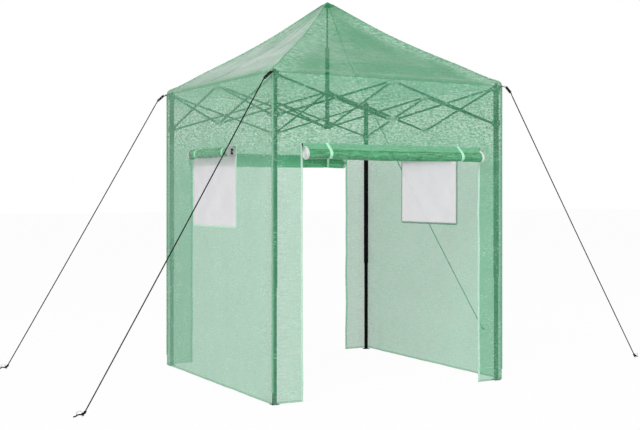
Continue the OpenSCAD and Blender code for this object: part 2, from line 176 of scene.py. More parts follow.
class Finish:
    """A material, or a sky, being written. Each method adds nodes, and surface() closes it."""

    def __init__(self, name, owner=None):
        self.material = owner or bpy.data.materials.new(name)
        self.material.use_nodes = True
        self.tree = self.material.node_tree
        self.tree.nodes.clear()

    def node(self, kind, settings=None, values=None, output=0):
        """Adds a node of a type, with its settings first and then the values or links of its inputs."""
        made = self.tree.nodes.new("ShaderNode" + kind)
        for name, setting in (settings or {}).items():
            setattr(made, name, setting)
        for name, value in (values or {}).items():
            if isinstance(value, Value):
                self.tree.links.new(value.socket, made.inputs[name])
            else:
                made.inputs[name].default_value = value
        return Value(self, made.outputs, output)

    def place(self):
        """Where a point is on the building, in metres."""
        return self.node("TexCoord", output="Object")

    def cloth_place(self):
        """Where a point is on the flat cloth, in metres."""
        return self.node("UVMap", {"uv_map": "cloth"})

    def parts(self, vector):
        """The three numbers of a place."""
        split = self.node("SeparateXYZ", None, {0: vector})
        return split, split.out("Y"), split.out("Z")

    def scaled(self, vector, x, y, z=1):
        """A place stretched along each axis, which sets how many details fit in a metre."""
        values = {0: vector, 1: (x, y, z)}
        return self.node("VectorMath", {"operation": "MULTIPLY"}, values)

    def cloudy(self, vector, scale=1.0, detail=3.0, distortion=0.0):
        """Soft noise around 0.5, with scale details in a metre."""
        values = {"Vector": vector, "Scale": scale, "Detail": detail, "Distortion": distortion}
        return self.node("TexNoise", None, values)

    def mixed(self, factor, a, b):
        """A colour between a and b."""
        values = {0: factor, 6: a, 7: b}
        return self.node("Mix", {"data_type": "RGBA"}, values, output=2)

    def bump(self, height, depth, strength=1.0):
        """The way a surface looks when a height of 1 stands depth metres out of it."""
        values = {"Height": height, "Distance": depth, "Strength": strength}
        return self.node("Bump", None, values)

    def solid(self, **values):
        """A Principled shader. Base_Color stands for its socket Base Color, and so on."""
        named = {name.replace("_", " "): value for name, value in values.items()}
        return self.node("BsdfPrincipled", None, named)

    def blend(self, factor, first, second):
        """The first shader at 0, the second at 1."""
        return self.node("MixShader", None, {0: factor, 1: first, 2: second})

    def surface(self, shader, closing="OutputMaterial"):
        """Closes the material, or the sky, with its last shader."""
        out = self.tree.nodes.new("ShaderNode" + closing)
        self.tree.links.new(shader.socket, out.inputs["Surface"])
        return self.material


print("shader helpers ready")

# %% [markdown]
# ## Floor, sky and lamps
#
# Soft light shows creased film best: one broad lamp from the upper left models the folds, a weaker one
# opens the shaded side, and an even sky fills the rest. Floor and sky are pale. To the camera, in a
# reflection or through glass, both show as plain white, so that the film keeps its own colour against
# them. The floor still receives light, so the object's shadow stays.

# %% Floor, sky and lamps
FLOOR_REACH = 60


def seen_directly(finish):
    """1 for rays that come from the camera, a reflection or glass, and 0 for the light that bounces."""
    light = finish.node("LightPath")
    return light.larger(light.out("Is Glossy Ray")).larger(light.out("Is Transmission Ray"))


floor_finish = Finish("floor")
grit = floor_finish.cloudy(floor_finish.place(), 9)
pale = floor_finish.mixed(grit, (0.80, 0.80, 0.80, 1), (0.84, 0.84, 0.84, 1))
ground = floor_finish.solid(Base_Color=pale, Roughness=0.9, Specular_IOR_Level=0.1)
white = floor_finish.node("Emission", None, {"Color": (1, 1, 1, 1), "Strength": 1.0})
floor_finish.surface(floor_finish.blend(seen_directly(floor_finish) * 0.96, ground, white))
floor_mesh = bpy.data.meshes.new("floor")
floor_corners = [(x * FLOOR_REACH, y * FLOOR_REACH, 0) for x, y in CORNERS]
floor_mesh.from_pydata(floor_corners, [], [(0, 1, 2, 3)])
floor_mesh.materials.append(floor_finish.material)
floor = bpy.data.objects.new("floor", floor_mesh)
bpy.context.scene.collection.objects.link(floor)
floor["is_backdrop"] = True


def lamp(name, spot, target, width, power):
    """A round lamp, width metres across, that looks at a target."""
    light = bpy.data.lights.new(name, "AREA")
    light.shape, light.size, light.energy = "DISK", width, power
    made = bpy.data.objects.new(name, light)
    made.location = spot
    made.rotation_euler = (Vector(target) - Vector(spot)).to_track_quat("-Z", "Y").to_euler()
    bpy.context.scene.collection.objects.link(made)


lamp("key", (-5.5, -5.0, 6.5), (0, 0, 1.2), width=4.0, power=430)
lamp("fill", (6.0, -4.5, 4.0), (0, 0, 1.0), width=4.0, power=150)
world = bpy.data.worlds.new("sky")
bpy.context.scene.world = world
sky = Finish("sky", world)
white_glow = {"Color": (1, 1, 1, 1), "Strength": seen_directly(sky) * 0.45 + 0.55}
sky.surface(sky.node("Background", None, white_glow), "OutputWorld")
print("floor, sky and two lamps ready")

# %% [markdown]
# ## Woven film
#
# The cover is woven from flat tapes about 3 mm wide and coated with a clear film. It works in three
# ways at once: part of the light goes straight through, part glows through the sheet from behind, and
# part comes back from its green surface. So the shader is a mix of a Transparent, a Translucent and a
# Principled shader. All its patterns lie on the flat cloth, so they follow it round corners and into
# rolls. The weave is the finest of them: a wave across and a wave down, of which the higher one shows.

# %% Colours and the weave
def paint(red, green, blue):
    """A colour given as a screen shows it, from 0 to 255, turned into the light it gives back."""
    def linear(c):
        return c / 12.92 if c <= 0.04045 else ((c + 0.055) / 1.055) ** 2.4
    return tuple(linear(c / 255) for c in (red, green, blue)) + (1.0,)


TAPE_PITCH, CHECK_PITCH = 0.003, 0.011
# The bright green of crumpled film is partly painted highlight on the crumples, and the crease white is
# partly the whitening of creased film and partly painted highlight for the glints.
DEEP_GREEN, BRIGHT_GREEN = paint(36, 146, 92), paint(148, 236, 186)
# The sheen colour is a painted sheen: a pale colour that stands in for reflection.
CREASE_WHITE_AND_PAINTED_GLINTS, PAINTED_SHEEN = paint(184, 242, 208), paint(225, 232, 228)


def woven(finish, cloth, pitch):
    """The height of a plain weave: 1 on the middle of a tape, and 0 where four tapes leave a pinhole."""
    across, down, _ = finish.parts(cloth)
    warp = abs((across * (math.pi / pitch)).sine())
    weft = abs((down * (math.pi / pitch)).sine())
    return warp.larger(weft)


print("tapes of", TAPE_PITCH, "m in checks of", CHECK_PITCH, "m")

# %% [markdown]
# ## Where the film is worn
#
# Film that travelled folded round its frame keeps the marks: it is crumpled where the frame pinched it,
# high on the walls and along the hips of the roof, and calm between. So a wear pattern says, from where
# a point is on the building, how crumpled it is. It takes the distances to the two middle planes and
# the height.

# %% Streaks, crumples and wear
LEVEL_STREAKS, UPRIGHT_STREAKS = (13, 150), (190, 14)


def wall_wear(x, y, z):
    """A wall is crumpled in a band below the eaves, and a little by the corners."""
    band = z.ramp(EAVE - 0.56, EAVE - 0.25) * (1 - z.ramp(EAVE - 0.17, EAVE - 0.03) * 0.6)
    by_corner = (x * y).ramp(0.736 * WALL ** 2, 0.971 * WALL ** 2)
    return (band + by_corner * 0.18).smaller(1.0)


def roof_wear(x, y, z):
    """The roof is crumpled along its four hips, but not at the peak, where it is pulled tight."""
    hips = 1 - abs(x - y).ramp(0.04, 0.20)
    return hips * (1 - z.ramp(PEAK - 0.185, PEAK - 0.025)) * 0.75


def streaks(finish, cloth):
    """The long faint streaks of the tapes, level and upright."""
    level = finish.cloudy(finish.scaled(cloth, *LEVEL_STREAKS), detail=4)
    upright = finish.cloudy(finish.scaled(cloth, *UPRIGHT_STREAKS), detail=3)
    return level * 0.7 + upright * 0.3


def crumples(finish, cloth, across, down):
    """Crumpled film: its swirl of small faces, the ridges between them, and pale glints on them, which are
    painted highlights.
    """
    swirl = finish.cloudy(finish.scaled(cloth, across, down), detail=1.6, distortion=0.5)
    folds = finish.cloudy(finish.scaled(cloth, across * 0.5, down * 0.7), detail=1, distortion=1.0)
    glints = finish.cloudy(finish.scaled(cloth, across, down), detail=1).ramp(0.57, 0.72)
    return swirl, 1 - abs(folds - 0.5).ramp(0.0, 0.06), glints


print("walls worn from", round(EAVE - 0.56, 2), "m up")

# %% [markdown]
# ## The film's shader
#
# The patterns meet in one number, the tone, which picks a green and also how open the weave is, so that
# dark streaks let less through. Two more things depend on how slantwise the film is seen, for which
# Layer Weight stands: the path through it gets longer, so less comes straight through, and a painted
# sheen shows, a pale colour mixed in that stands in for the reflection of its coating. Creases are whiter
# and denser than the calm film, partly as creased film whitens and partly as painted highlight: pale
# glints on the crumples.

# %% The film
GLOW_SHARE, LEAST_OPEN = 0.22, 0.05
FILM_BUMP = 0.0026


def painted_sheen(edge_on, patches, z):
    """How much painted sheen is mixed in, a pale colour that stands in for reflection where the film is seen
    edge-on: broad patches on the roof, and a trace on the walls.
    """
    on_roof = z.ramp(EAVE - 0.01, EAVE + 0.08) * (1 - z.ramp(PEAK - 0.305, PEAK - 0.045) * 0.45)
    painted_roof_sheen = edge_on.ramp(0.66, 0.88) * (patches.ramp(0.3, 0.7) * 0.5 + 0.5) * on_roof
    return painted_roof_sheen + edge_on.ramp(0.3, 0.55) * (1 - on_roof) * 0.12


def film(name, deep, pale, glow, open_share, grain, shine,
         wear=None, creased=0.1, crumple=(48, 98), pinches=1.0):
    """Woven film. open_share is how much it lets straight through, grain how strong its texture is, and
    shine how much light its coating turns back. wear says where it is crumpled, creased how white its
    creases and their painted glints are there, and crumple how many crumples there are in a metre across
    it and down it. pinches is how much the few creases of the calm parts, with their painted glints, show."""
    finish = Finish(name)
    cloth = finish.cloth_place()
    x, y, z = finish.parts(finish.place())
    crushed = wear(abs(x), abs(y), z) if wear else 0.0
    weave, check = woven(finish, cloth, TAPE_PITCH), woven(finish, cloth, CHECK_PITCH).ramp(0.88, 1.0)
    patches, calm = finish.cloudy(cloth, 5), streaks(finish, cloth)
    pinched = finish.cloudy(cloth, 7).ramp(0.42, 0.60) * pinches
    swirl, ridges, glints = crumples(finish, cloth, *crumple)

    uneven = (calm - 0.5) * 1.6 + (swirl - 0.5) * (crushed * 2.9 + 0.4) + (patches - 0.5) * 0.5
    tone = uneven * grain + 0.5
    # The white mixed in below is partly the whitening of creased film and partly painted highlight: the
    # glints on the crumples and the pale dashes in the calm parts.
    white = ridges * (crushed * creased + pinched * 0.26)
    white += glints * (crushed * (creased + 0.35) + pinched * 0.7)
    even = finish.mixed(tone.ramp(0, 1), deep, pale)
    # The crumpled greens run from a deep green to a bright mint, whose pale end is partly painted highlight
    # on the crumples.
    crumpled = finish.mixed(tone.ramp(0, 1), DEEP_GREEN, BRIGHT_GREEN)
    green = finish.mixed(white, finish.mixed(crushed * 0.85, even, crumpled), CREASE_WHITE_AND_PAINTED_GLINTS)

    height = swirl * (crushed * 1.4 + 0.2) + ridges * (crushed * 0.5 + 0.1) + calm * 0.7 + weave * 0.1
    normal = finish.bump(height * grain, FILM_BUMP, 0.9)
    edge_on = finish.node("LayerWeight", None, {"Blend": 0.5, "Normal": normal}, output="Facing")
    coat = {"Roughness": 0.3 + (patches - 0.5) * 0.18, "Normal": normal, "Specular_IOR_Level": shine}
    # The second skin is a painted sheen: a pale colour, mixed in where the film is seen edge-on, that stands
    # in for the reflection of the coating.
    skin, painted_sheen_skin = finish.solid(Base_Color=green, **coat), finish.solid(Base_Color=PAINTED_SHEEN, **coat)
    lit_through = finish.node("BsdfTranslucent", None, {"Color": glow, "Normal": normal})
    with_painted_sheen = finish.blend(painted_sheen(edge_on, patches, z), skin, painted_sheen_skin)
    sheet = finish.blend(GLOW_SHARE, with_painted_sheen, lit_through)

    share = open_share + crushed * 0.13 + (tone - 0.5) * (crushed * 0.30 + 0.07)
    share -= white * 0.2 + check * 0.06
    clear = share.larger(LEAST_OPEN) ** ((1 - edge_on).larger(0.1) ** -0.45)
    return finish.surface(finish.blend(clear, sheet, finish.node("BsdfTransparent")))


wall_film = film("wall_film", paint(80, 172, 127), paint(118, 194, 155), paint(132, 202, 164),
                 open_share=0.458, grain=1.0, shine=0.2, wear=wall_wear)
roof_film = film("roof_film", paint(10, 130, 74), paint(36, 162, 104), paint(50, 188, 124),
                 open_share=0.505, grain=1.0, shine=0.05, wear=roof_wear,
                 creased=0.3, crumple=(30, 56), pinches=0.35)
hem_film = film("hem_film", paint(84, 178, 130), paint(124, 202, 160), paint(134, 206, 166),
                open_share=0.72, grain=0.5, shine=0.35)
print("film ready:", wall_film.name, roof_film.name, hem_film.name)

# %% [markdown]
# ## Rolled film, tapes, mesh and thread
#
# Where the film is rolled up, a dozen layers lie on each other, so it reads as one deep glossy green.
# Only its first few centimetres, between the seam and the roll, are one pale layer. The zip tapes and
# the ties are fine twill in a very pale mint, and the eave loops are black twill. The window mesh is a
# fine white net, and its holes are far smaller than a leaf: from a few steps away it looks like
# frosted paper.

# %% Rolled film
def rolled(name, lead, deep, pale):
    """Film on a roll. lead is how far it runs from its seam before it lies on other layers."""
    finish = Finish(name)
    cloth = finish.cloth_place()
    run = finish.parts(cloth)[1]
    single = 1 - run.ramp(lead * 0.86, lead * 1.02)
    # The fold line is painted shade: a dark green line along the roll where the sheet first touches it, for
    # the shade in the crevice between the lead and the roll.
    fold = 1 - abs(run - lead * 1.02).ramp(0.0, 0.006)
    along = finish.cloudy(finish.scaled(cloth, 9, 130), detail=4, distortion=0.5)
    dents = finish.cloudy(finish.scaled(cloth, 30, 75), detail=3, distortion=0.8)
    pulled = finish.cloudy(finish.scaled(cloth, 14, 60), detail=2, distortion=1.1)
    pulls = 1 - abs(pulled - 0.5).ramp(0.0, 0.05)
    tone = along * 0.65 + dents * 0.35
    layered = finish.mixed(tone.ramp(0.30, 0.62), deep, pale)
    one_layer = finish.mixed(tone, paint(104, 178, 136), paint(150, 208, 174))
    green = finish.mixed(single * 0.6, layered, one_layer)
    # Here the painted shade line of that crevice is mixed in.
    folded = finish.mixed(fold * 0.7, green, paint(20, 92, 52))
    colour = finish.mixed(pulls * 0.24, folded, paint(180, 236, 204))
    height = along * 0.8 + dents * 0.6 + pulls * 0.35 + woven(finish, cloth, TAPE_PITCH) * 0.08
    skin = finish.solid(Base_Color=colour, Roughness=0.2 + dents * 0.2, Specular_IOR_Level=0.7,
                        Normal=finish.bump(height, 0.0036))
    return finish.surface(skin)


door_rolled_film = rolled("door_rolled_film", DOOR_RISE, paint(14, 98, 52), paint(56, 168, 106))
# The back door's roll has paler greens than the front door's: painted light, for the dimmer light that
# reaches it inside.
back_rolled_film_with_painted_light = rolled("back_rolled_film_with_painted_light", DOOR_RISE, paint(44, 142, 90), paint(108, 214, 154))
flap_rolled_film = rolled("flap_rolled_film", FLAP_RISE, paint(20, 102, 58), paint(68, 170, 112))
print("rolled film ready")

# %% Tapes and net
NET_PITCH = 0.0016


def twill(name, pale, deep, pitch=0.0011, through=0.35):
    """Narrow woven tape: ribs that lean across it. through is the share of light that glows through."""
    finish = Finish(name)
    across, along, _ = finish.parts(finish.cloth_place())
    ribs = ((across + along * 0.6) * (2 * math.pi / pitch)).sine() * 0.5 + 0.5
    worn = finish.cloudy(finish.place(), 60)
    colour = finish.mixed((ribs * 0.35 + worn * 0.65).ramp(0.2, 0.8), deep, pale)
    normal = finish.bump(ribs + worn * 0.6, 0.0004)
    skin = finish.solid(Base_Color=colour, Roughness=0.6 + worn * 0.2, Normal=normal)
    return finish.surface(finish.blend(through, skin, finish.node("BsdfTranslucent", None, {"Color": pale})))


def net(name):
    """Fine mesh: threads with small square holes between them."""
    finish = Finish(name)
    cloth = finish.cloth_place()
    threads = woven(finish, cloth, NET_PITCH)
    slack = finish.cloudy(cloth, 7)
    colour = finish.mixed(slack.ramp(0.3, 0.7), paint(234, 227, 234), paint(246, 240, 245))
    skin = finish.solid(Base_Color=colour, Roughness=0.7, Normal=finish.bump(threads, 0.0003))
    sheet = finish.blend(0.45, skin, finish.node("BsdfTranslucent", None, {"Color": paint(242, 238, 243)}))
    holes = 1 - threads.ramp(0.3, 0.7)
    return finish.surface(finish.blend(holes * 0.06 + 0.08, sheet, finish.node("BsdfTransparent")))


rim_tape = twill("rim_tape", paint(246, 252, 247), paint(234, 238, 234), through=0.05)
# The flaps' rim tape is a greyer, darker copy of the doors' rim tape: painted shade on the ends of the flap
# rolls.
flap_rim_tape_with_painted_shade = twill("flap_rim_tape_with_painted_shade", paint(214, 214, 212), paint(188, 192, 189), through=0.05)
zip_tape = twill("zip_tape", paint(220, 255, 238), paint(204, 252, 226), through=0.15)
seam_tape = twill("seam_tape", paint(190, 230, 206), paint(156, 206, 180), through=0.45)
dark_strap = twill("dark_strap", paint(16, 18, 17), paint(6, 8, 7), through=0.0)
tie_tape = twill("tie_tape", paint(198, 250, 222), paint(172, 238, 202), 0.0014, through=0.0)
pale_thread = twill("pale_thread", paint(212, 232, 220), paint(160, 190, 172), 0.0008)
mesh_net = net("mesh_net")
print("tapes and net ready")

# %% [markdown]
# ## Steel, plastic, zinc and rope
#
# The frame is powder coated: black, satin, with the faint orange peel that the powder leaves and pale
# scuffs where the tubes slide. Its brackets and hubs are moulded in black plastic, and the joints in
# the middle of each side in pale grey. The pegs, screws and pins are zinc plated, and the rope is black
# fibre that doesn't shine. Roughness and bump carry most of the difference, not the colour.

# %% Hard finishes
def powder_coat(name):
    """Black powder on steel: fine orange peel, grey scuffs along the tubes, and a little dust."""
    finish = Finish(name)
    place = finish.place()
    peel = finish.cloudy(place, 420, 2)
    scuffs = finish.cloudy(finish.scaled(place, 60, 60, 9), detail=5).ramp(0.62, 0.74)
    dust = finish.cloudy(place, 11)
    black = finish.mixed(dust.ramp(0.35, 0.75), paint(5, 6, 6), paint(16, 18, 17))
    colour = finish.mixed(scuffs * 0.14, black, paint(92, 96, 96))
    skin = finish.solid(Base_Color=colour, Roughness=0.40 + dust * 0.16 + scuffs * 0.12,
                        Specular_IOR_Level=0.05, Normal=finish.bump(peel - scuffs * 0.4, 0.0004))
    return finish.surface(skin)


def moulded_plastic(name, pale, deep, roughness, shine=0.5):
    """Plastic from a mould: it varies a little where it flowed, under a fine grit."""
    finish = Finish(name)
    place = finish.place()
    flow = finish.cloudy(place, 24, 4)
    grit = finish.cloudy(place, 900, 2)
    colour = finish.mixed(flow.ramp(0.3, 0.7), pale, deep)
    normal = finish.bump(grit + flow * 0.5, 0.0003)
    skin = finish.solid(Base_Color=colour, Roughness=roughness + grit * 0.15, Normal=normal,
                        Specular_IOR_Level=shine)
    return finish.surface(skin)


def plated(name):
    """Zinc plate: pale spangle that has dulled in patches."""
    finish = Finish(name)
    place = finish.place()
    spangle = finish.cloudy(place, 160, 4)
    dull = finish.cloudy(place, 35, 3).ramp(0.45, 0.7)
    colour = finish.mixed(spangle, paint(196, 198, 200), paint(226, 227, 228))
    skin = finish.solid(Base_Color=colour, Metallic=0.6 - dull * 0.3, Roughness=0.3 + dull * 0.3,
                        Normal=finish.bump(spangle, 0.0003))
    return finish.surface(skin)


def cordage(name):
    """Black fibre, a little bleached in places."""
    finish = Finish(name)
    place = finish.place()
    fibres = finish.cloudy(place, 1500, 3)
    bleached = finish.cloudy(place, 22)
    colour = finish.mixed(bleached.ramp(0.35, 0.75), paint(6, 8, 7), paint(20, 23, 21))
    skin = finish.solid(Base_Color=colour, Roughness=0.8, Specular_IOR_Level=0.12,
                        Normal=finish.bump(fibres, 0.0005))
    return finish.surface(skin)


steel = powder_coat("steel")
grey_plastic = moulded_plastic("grey_plastic", paint(214, 218, 212), paint(190, 195, 190), 0.42)
black_plastic = moulded_plastic("black_plastic", paint(9, 10, 10), paint(4, 5, 5), 0.5, 0.15)
nylon = moulded_plastic("nylon", paint(238, 244, 238), paint(212, 224, 214), 0.3)
zinc = plated("zinc")
cord = cordage("cord")
print("finishes:", len(bpy.data.materials))

# %% [markdown]
# ## Gathering points and faces
#
# Everything on this object is a sheet, a strip along a line, or a moulded block. So one class gathers
# points and faces from a few kinds of stroke: a grid for sheets, a row of rings joined one to the next
# for strips, ropes and blocks, and short raised threads for stitching. Each also notes where its
# corners lie on the flat cloth, in metres, so that a weave keeps its scale.

# %% Shapes
class Shape:
    """The points, faces and flat places of one mesh."""

    def __init__(self):
        self.points = []
        self.faces = []
        self.flat = []

    def face(self, corners, flat=None):
        """One face, and where its corners lie on the flat cloth."""
        self.faces.append(corners)
        self.flat.extend(flat or [(self.points[c][0], self.points[c][2]) for c in corners])

    def grid(self, columns, rows, point, flat, hole=None, around=False):
        """Quads between columns and rows of steps. point(i, j) is a place, and flat(i, j) its cloth place."""
        wide = columns if around else columns + 1
        first = len(self.points)
        self.points += [tuple(point(i, j)) for j in range(rows + 1) for i in range(wide)]
        for j in range(rows):
            for i in range(columns):
                if hole and hole(i, j):
                    continue
                a, b = first + j * wide + i, first + j * wide + (i + 1) % wide
                ends = (flat(i, j), flat(i + 1, j), flat(i + 1, j + 1), flat(i, j + 1))
                self.face((a, b, b + wide, a + wide), ends)

    def join(self, rings, closed=True, capped=True):
        """Rings of points, each joined to the next. The cloth place is the distance round and along them."""
        first, count = len(self.points), len(rings[0])
        self.points += [tuple(p) for ring in rings for p in ring]
        across, along = [0.0], [0.0]
        for a, b in zip(rings[0], rings[0][1:] + rings[0][:1]):
            across.append(across[-1] + math.dist(a, b))
        for a, b in zip(rings, rings[1:]):
            along.append(along[-1] + math.dist(a[0], b[0]))
        for k in range(len(rings) - 1):
            for i in range(count if closed else count - 1):
                a, b = first + k * count + i, first + k * count + (i + 1) % count
                ends = [(across[i + x], along[k + y]) for x, y in ((0, 0), (1, 0), (1, 1), (0, 1))]
                self.face((a, b, b + count, a + count), ends)
        if closed and capped:
            last = first + (len(rings) - 1) * count
            self.face(tuple(range(first, first + count))[::-1])
            self.face(tuple(range(last, last + count)))

    def strip(self, outline, runs, place, closed=True):
        """An outline carried over a surface: place(run, across, up) gives each of its points."""
        self.join([[place(run, x, y) for x, y in outline] for run in runs], closed)

    def sweep(self, path, normals, outline, twist=0.0):
        """An outline of (sideways, outwards) points moved along a path, turning by twist in a metre."""
        rings, gone = [], 0.0
        for k, at in enumerate(path):
            ahead = (path[min(k + 1, len(path) - 1)] - path[max(k - 1, 0)]).normalized()
            side = ahead.cross(normals[k]).normalized()
            out = side.cross(ahead)
            gone += (at - path[max(k - 1, 0)]).length
            c, s = math.cos(gone * twist), math.sin(gone * twist)
            rings.append([at + side * (x * c - y * s) + out * (x * s + y * c) for x, y in outline])
        self.join(rings)

    def block(self, outline, low, high, bevel, place, steps=2):
        """An outline pushed from low to high with its rims rounded. outline(inset) gives its points."""
        rims = []
        for k in range(steps + 1):
            angle = math.pi / 2 * k / steps
            rims.append((bevel * (1 - math.sin(angle)), bevel * (1 - math.cos(angle))))
        stack = [(inset, low + step) for inset, step in rims]
        stack += [(inset, high - step) for inset, step in reversed(rims)]
        self.join([[place(x, y, z) for x, y in outline(inset)] for inset, z in stack])

    def lathe(self, profile, sides, place):
        """A profile of (radius, height) turned about an axis."""
        turns = [2 * math.pi * i / sides for i in range(sides)]
        self.join([[place(r * math.cos(t), r * math.sin(t), h) for t in turns] for r, h in profile])

    def stitches(self, path, normals, pitch=0.0055, length=0.0038, width=0.0011, height=0.0007):
        """A row of short threads lying on a line. Each is a low pyramid, longer than it is wide."""
        gap = 0.0
        for k in range(len(path) - 1):
            step = path[k + 1] - path[k]
            ahead = step.normalized()
            side = ahead.cross(normals[k]).normalized() * (width / 2)
            while gap + length < step.length:
                at = path[k] + ahead * gap
                mid, end = at + ahead * (length / 2), at + ahead * length
                first = len(self.points)
                tip = mid + normals[k] * height
                self.points += [tuple(p) for p in (at, mid + side, end, mid - side, tip)]
                for a, b in ((0, 1), (1, 2), (2, 3), (3, 0)):
                    self.face((first + a, first + b, first + 4))
                gap += pitch
            gap = max(0.0, gap - step.length)


print("strokes ready")

# %% [markdown]
# ## Placing a piece
#
# Two small helpers come with it. One cuts a line into equal cells, and the other carries a point that
# was worked out for the front to another side.

# %% Placing a piece
def placed(name, mesh, finish, slot, stands_for=(), sharp=None):
    """Makes an object of a mesh, gives it its finish, and lets it ride with the frame."""
    mesh.polygons.foreach_set("use_smooth", [True] * len(mesh.polygons))
    if sharp is not None:
        mesh.set_sharp_from_angle(angle=math.radians(sharp))
    mesh.materials.clear()
    mesh.materials.append(finish)
    made = bpy.data.objects.new(name, mesh)
    bpy.context.scene.collection.objects.link(made)
    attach(made, "root")
    if stands_for:
        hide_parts(*stands_for)
    return made


def piece(name, shape, finish, slot, stands_for=(), sharp=None):
    """Turns a shape into a mesh of the points that its faces use, and places it."""
    used = sorted({c for face in shape.faces for c in face})
    number = {old: new for new, old in enumerate(used)}
    mesh = bpy.data.meshes.new(name)
    mesh.from_pydata([shape.points[c] for c in used], [], [[number[c] for c in f] for f in shape.faces])
    cloth = mesh.uv_layers.new(name="cloth")
    cloth.data.foreach_set("uv", [x for place in shape.flat for x in place])
    return placed(name, mesh, finish, slot, stands_for, sharp)


def steps(stops, size):
    """Places from stop to stop in equal steps of at most size, so that an edge never cuts a cell."""
    places = [stops[0]]
    for a, b in zip(stops, stops[1:]):
        count = max(1, math.ceil((b - a) / size - 1e-6))
        places += [a + (b - a) * i / count for i in range(1, count + 1)]
    return places


def turned(side, x, y, z):
    """A point given for the front side, carried round to another side."""
    for _ in range(side):
        x, y = -y, x
    return Vector((x, y, z))


print("placing ready")

# %% [markdown]
# ## How the film hangs
#
# A fitted cover is one closed skin: the walls are sewn to the roof and meet in rounded corners where
# they pass the legs. It is never quite flat. It has long upright waves between the eaves and the hem,
# a hem that flutters, door edges that waver, and small crumples from its time in the carton. Cloth
# simulation would find the waves but not the crumples, and a stretched cover barely moves, so the
# surface is moved by a few layers of smooth noise instead. Every trim asks the same function where the
# film is, and so stays on it.

# %% Where a wall's film is
CORNER_R = 0.006
STRAIGHT = WALL - CORNER_R
HALF_RUN = STRAIGHT + CORNER_R * math.pi / 4
WAVES, HEM_WAVES = (0.21, 1.3, 0, 0.0042), (0.11, 0.5, 1, 0.0045)
CRUMPLES = [(0.050, 0.036, 2, 0.0011), (0.024, 0.017, 3, 0.0005)]
PULL_DEPTH = 0.0022
SLIT_TOP, SLIT_GAP = 0.07, 0.0028


def fade(value, low, high):
    """0 below low, 1 above high, and smooth between them."""
    t = min(1.0, max(0.0, (value - low) / (high - low)))
    return t * t * (3 - 2 * t)


def drift(x, y, z, seed=0.0):
    """Smooth noise between about -1 and 1, a different one for each seed."""
    return noise.noise(Vector((x + seed, y - seed * 0.7, z + seed * 1.3)))


def hills(s, z, seed, wide, tall, layer, deep):
    """Smooth hills and hollows, about wide by tall metres each."""
    return drift(s / wide, z / tall, layer, seed) * deep


def corner_pulls(dx, dz, rays, phase, reach_far, start):
    """Creases that fan out of a corner and die away with the distance from it."""
    reach = math.hypot(dx, dz)
    strength = math.exp(-reach / reach_far) * fade(reach, 0.02, start)
    return math.sin(math.atan2(dz, dx) * rays + phase) * strength


def ripple(side, s, z):
    """How far a wall's film stands in front of its flat place. It is held by the seams and the cut edges."""
    seed = 11.3 * side + 3.1
    waves = hills(s, z, seed, *WAVES)
    hem = hills(s, z, seed, *HEM_WAVES) * (1 - fade(z, HEM, 0.35))
    pulls = sum(corner_pulls(abs(s - corner * WALL), EAVE - z, 19, side, 0.30, 0.12) for corner in (-1, 1))
    crumple = sum(hills(s, z, seed, *size) for size in CRUMPLES)
    held = fade(HALF_RUN - abs(s), 0.0, 0.07) * fade(EAVE - z, 0.0, 0.06)
    cut = DOOR_TOP if side in (FRONT, BACK) else WINDOW_TOP
    weight = math.exp(-((z - cut) / 0.05) ** 2)
    held *= 1 - 0.75 * weight * (1 - fade(abs(s), DOOR_HALF - 0.1, DOOR_HALF))
    calm = (waves + hem + pulls * PULL_DEPTH) * held
    return calm + crumple * (0.25 + 0.75 * held) * fade(EAVE - z, 0.0, 0.03)


def waver(side, s, z):
    """How far a free edge strays sideways: a doorway's sides, and the short slit at a corner's foot."""
    foot = (1 - fade(z, HEM, SLIT_TOP)) * fade(abs(s), STRAIGHT - 0.03, HALF_RUN)
    slit = -math.copysign(SLIT_GAP * foot, s)
    if side in (LEFT, RIGHT) or z > DOOR_TOP + 0.05:
        return slit
    near = math.exp(-abs(abs(s) - DOOR_HALF) / 0.05) * (1 - fade(z, DOOR_TOP - 0.05, DOOR_TOP + 0.05))
    return drift(z / 0.23, side, math.copysign(3, s)) * 0.006 * near + slit


def wall_at(side, s, z, out=0.0):
    """A point of a wall: s along it from its middle, z above the ground, and out in front of the film."""
    out += ripple(side, s, z)
    s += waver(side, s, z)
    if abs(s) <= STRAIGHT:
        return turned(side, s, -(WALL + out), z)
    bend = (abs(s) - STRAIGHT) / CORNER_R
    x = STRAIGHT + (CORNER_R + out) * math.sin(bend)
    y = -(STRAIGHT + (CORNER_R + out) * math.cos(bend))
    return turned(side, math.copysign(x, s), y, z)


def wall_facing(side, s):
    """The way a wall looks at a place along it, which turns at the rounded corners."""
    bend = max(0.0, (abs(s) - STRAIGHT) / CORNER_R)
    return turned(side, math.copysign(math.sin(bend), s), -math.cos(bend), 0.0)


print("a wall runs", round(2 * HALF_RUN, 3), "m over its film")

# %% [markdown]
# ## The four walls
#
# Each wall is one sheet with its openings left out of the grid: a window in each side, a doorway in
# the front and the back. The grid has a line along every cut edge, so the edges come out clean. The
# cells are about 12 mm, which is fine enough for crumples that catch the light.

# %% Walls
CELL = 0.012


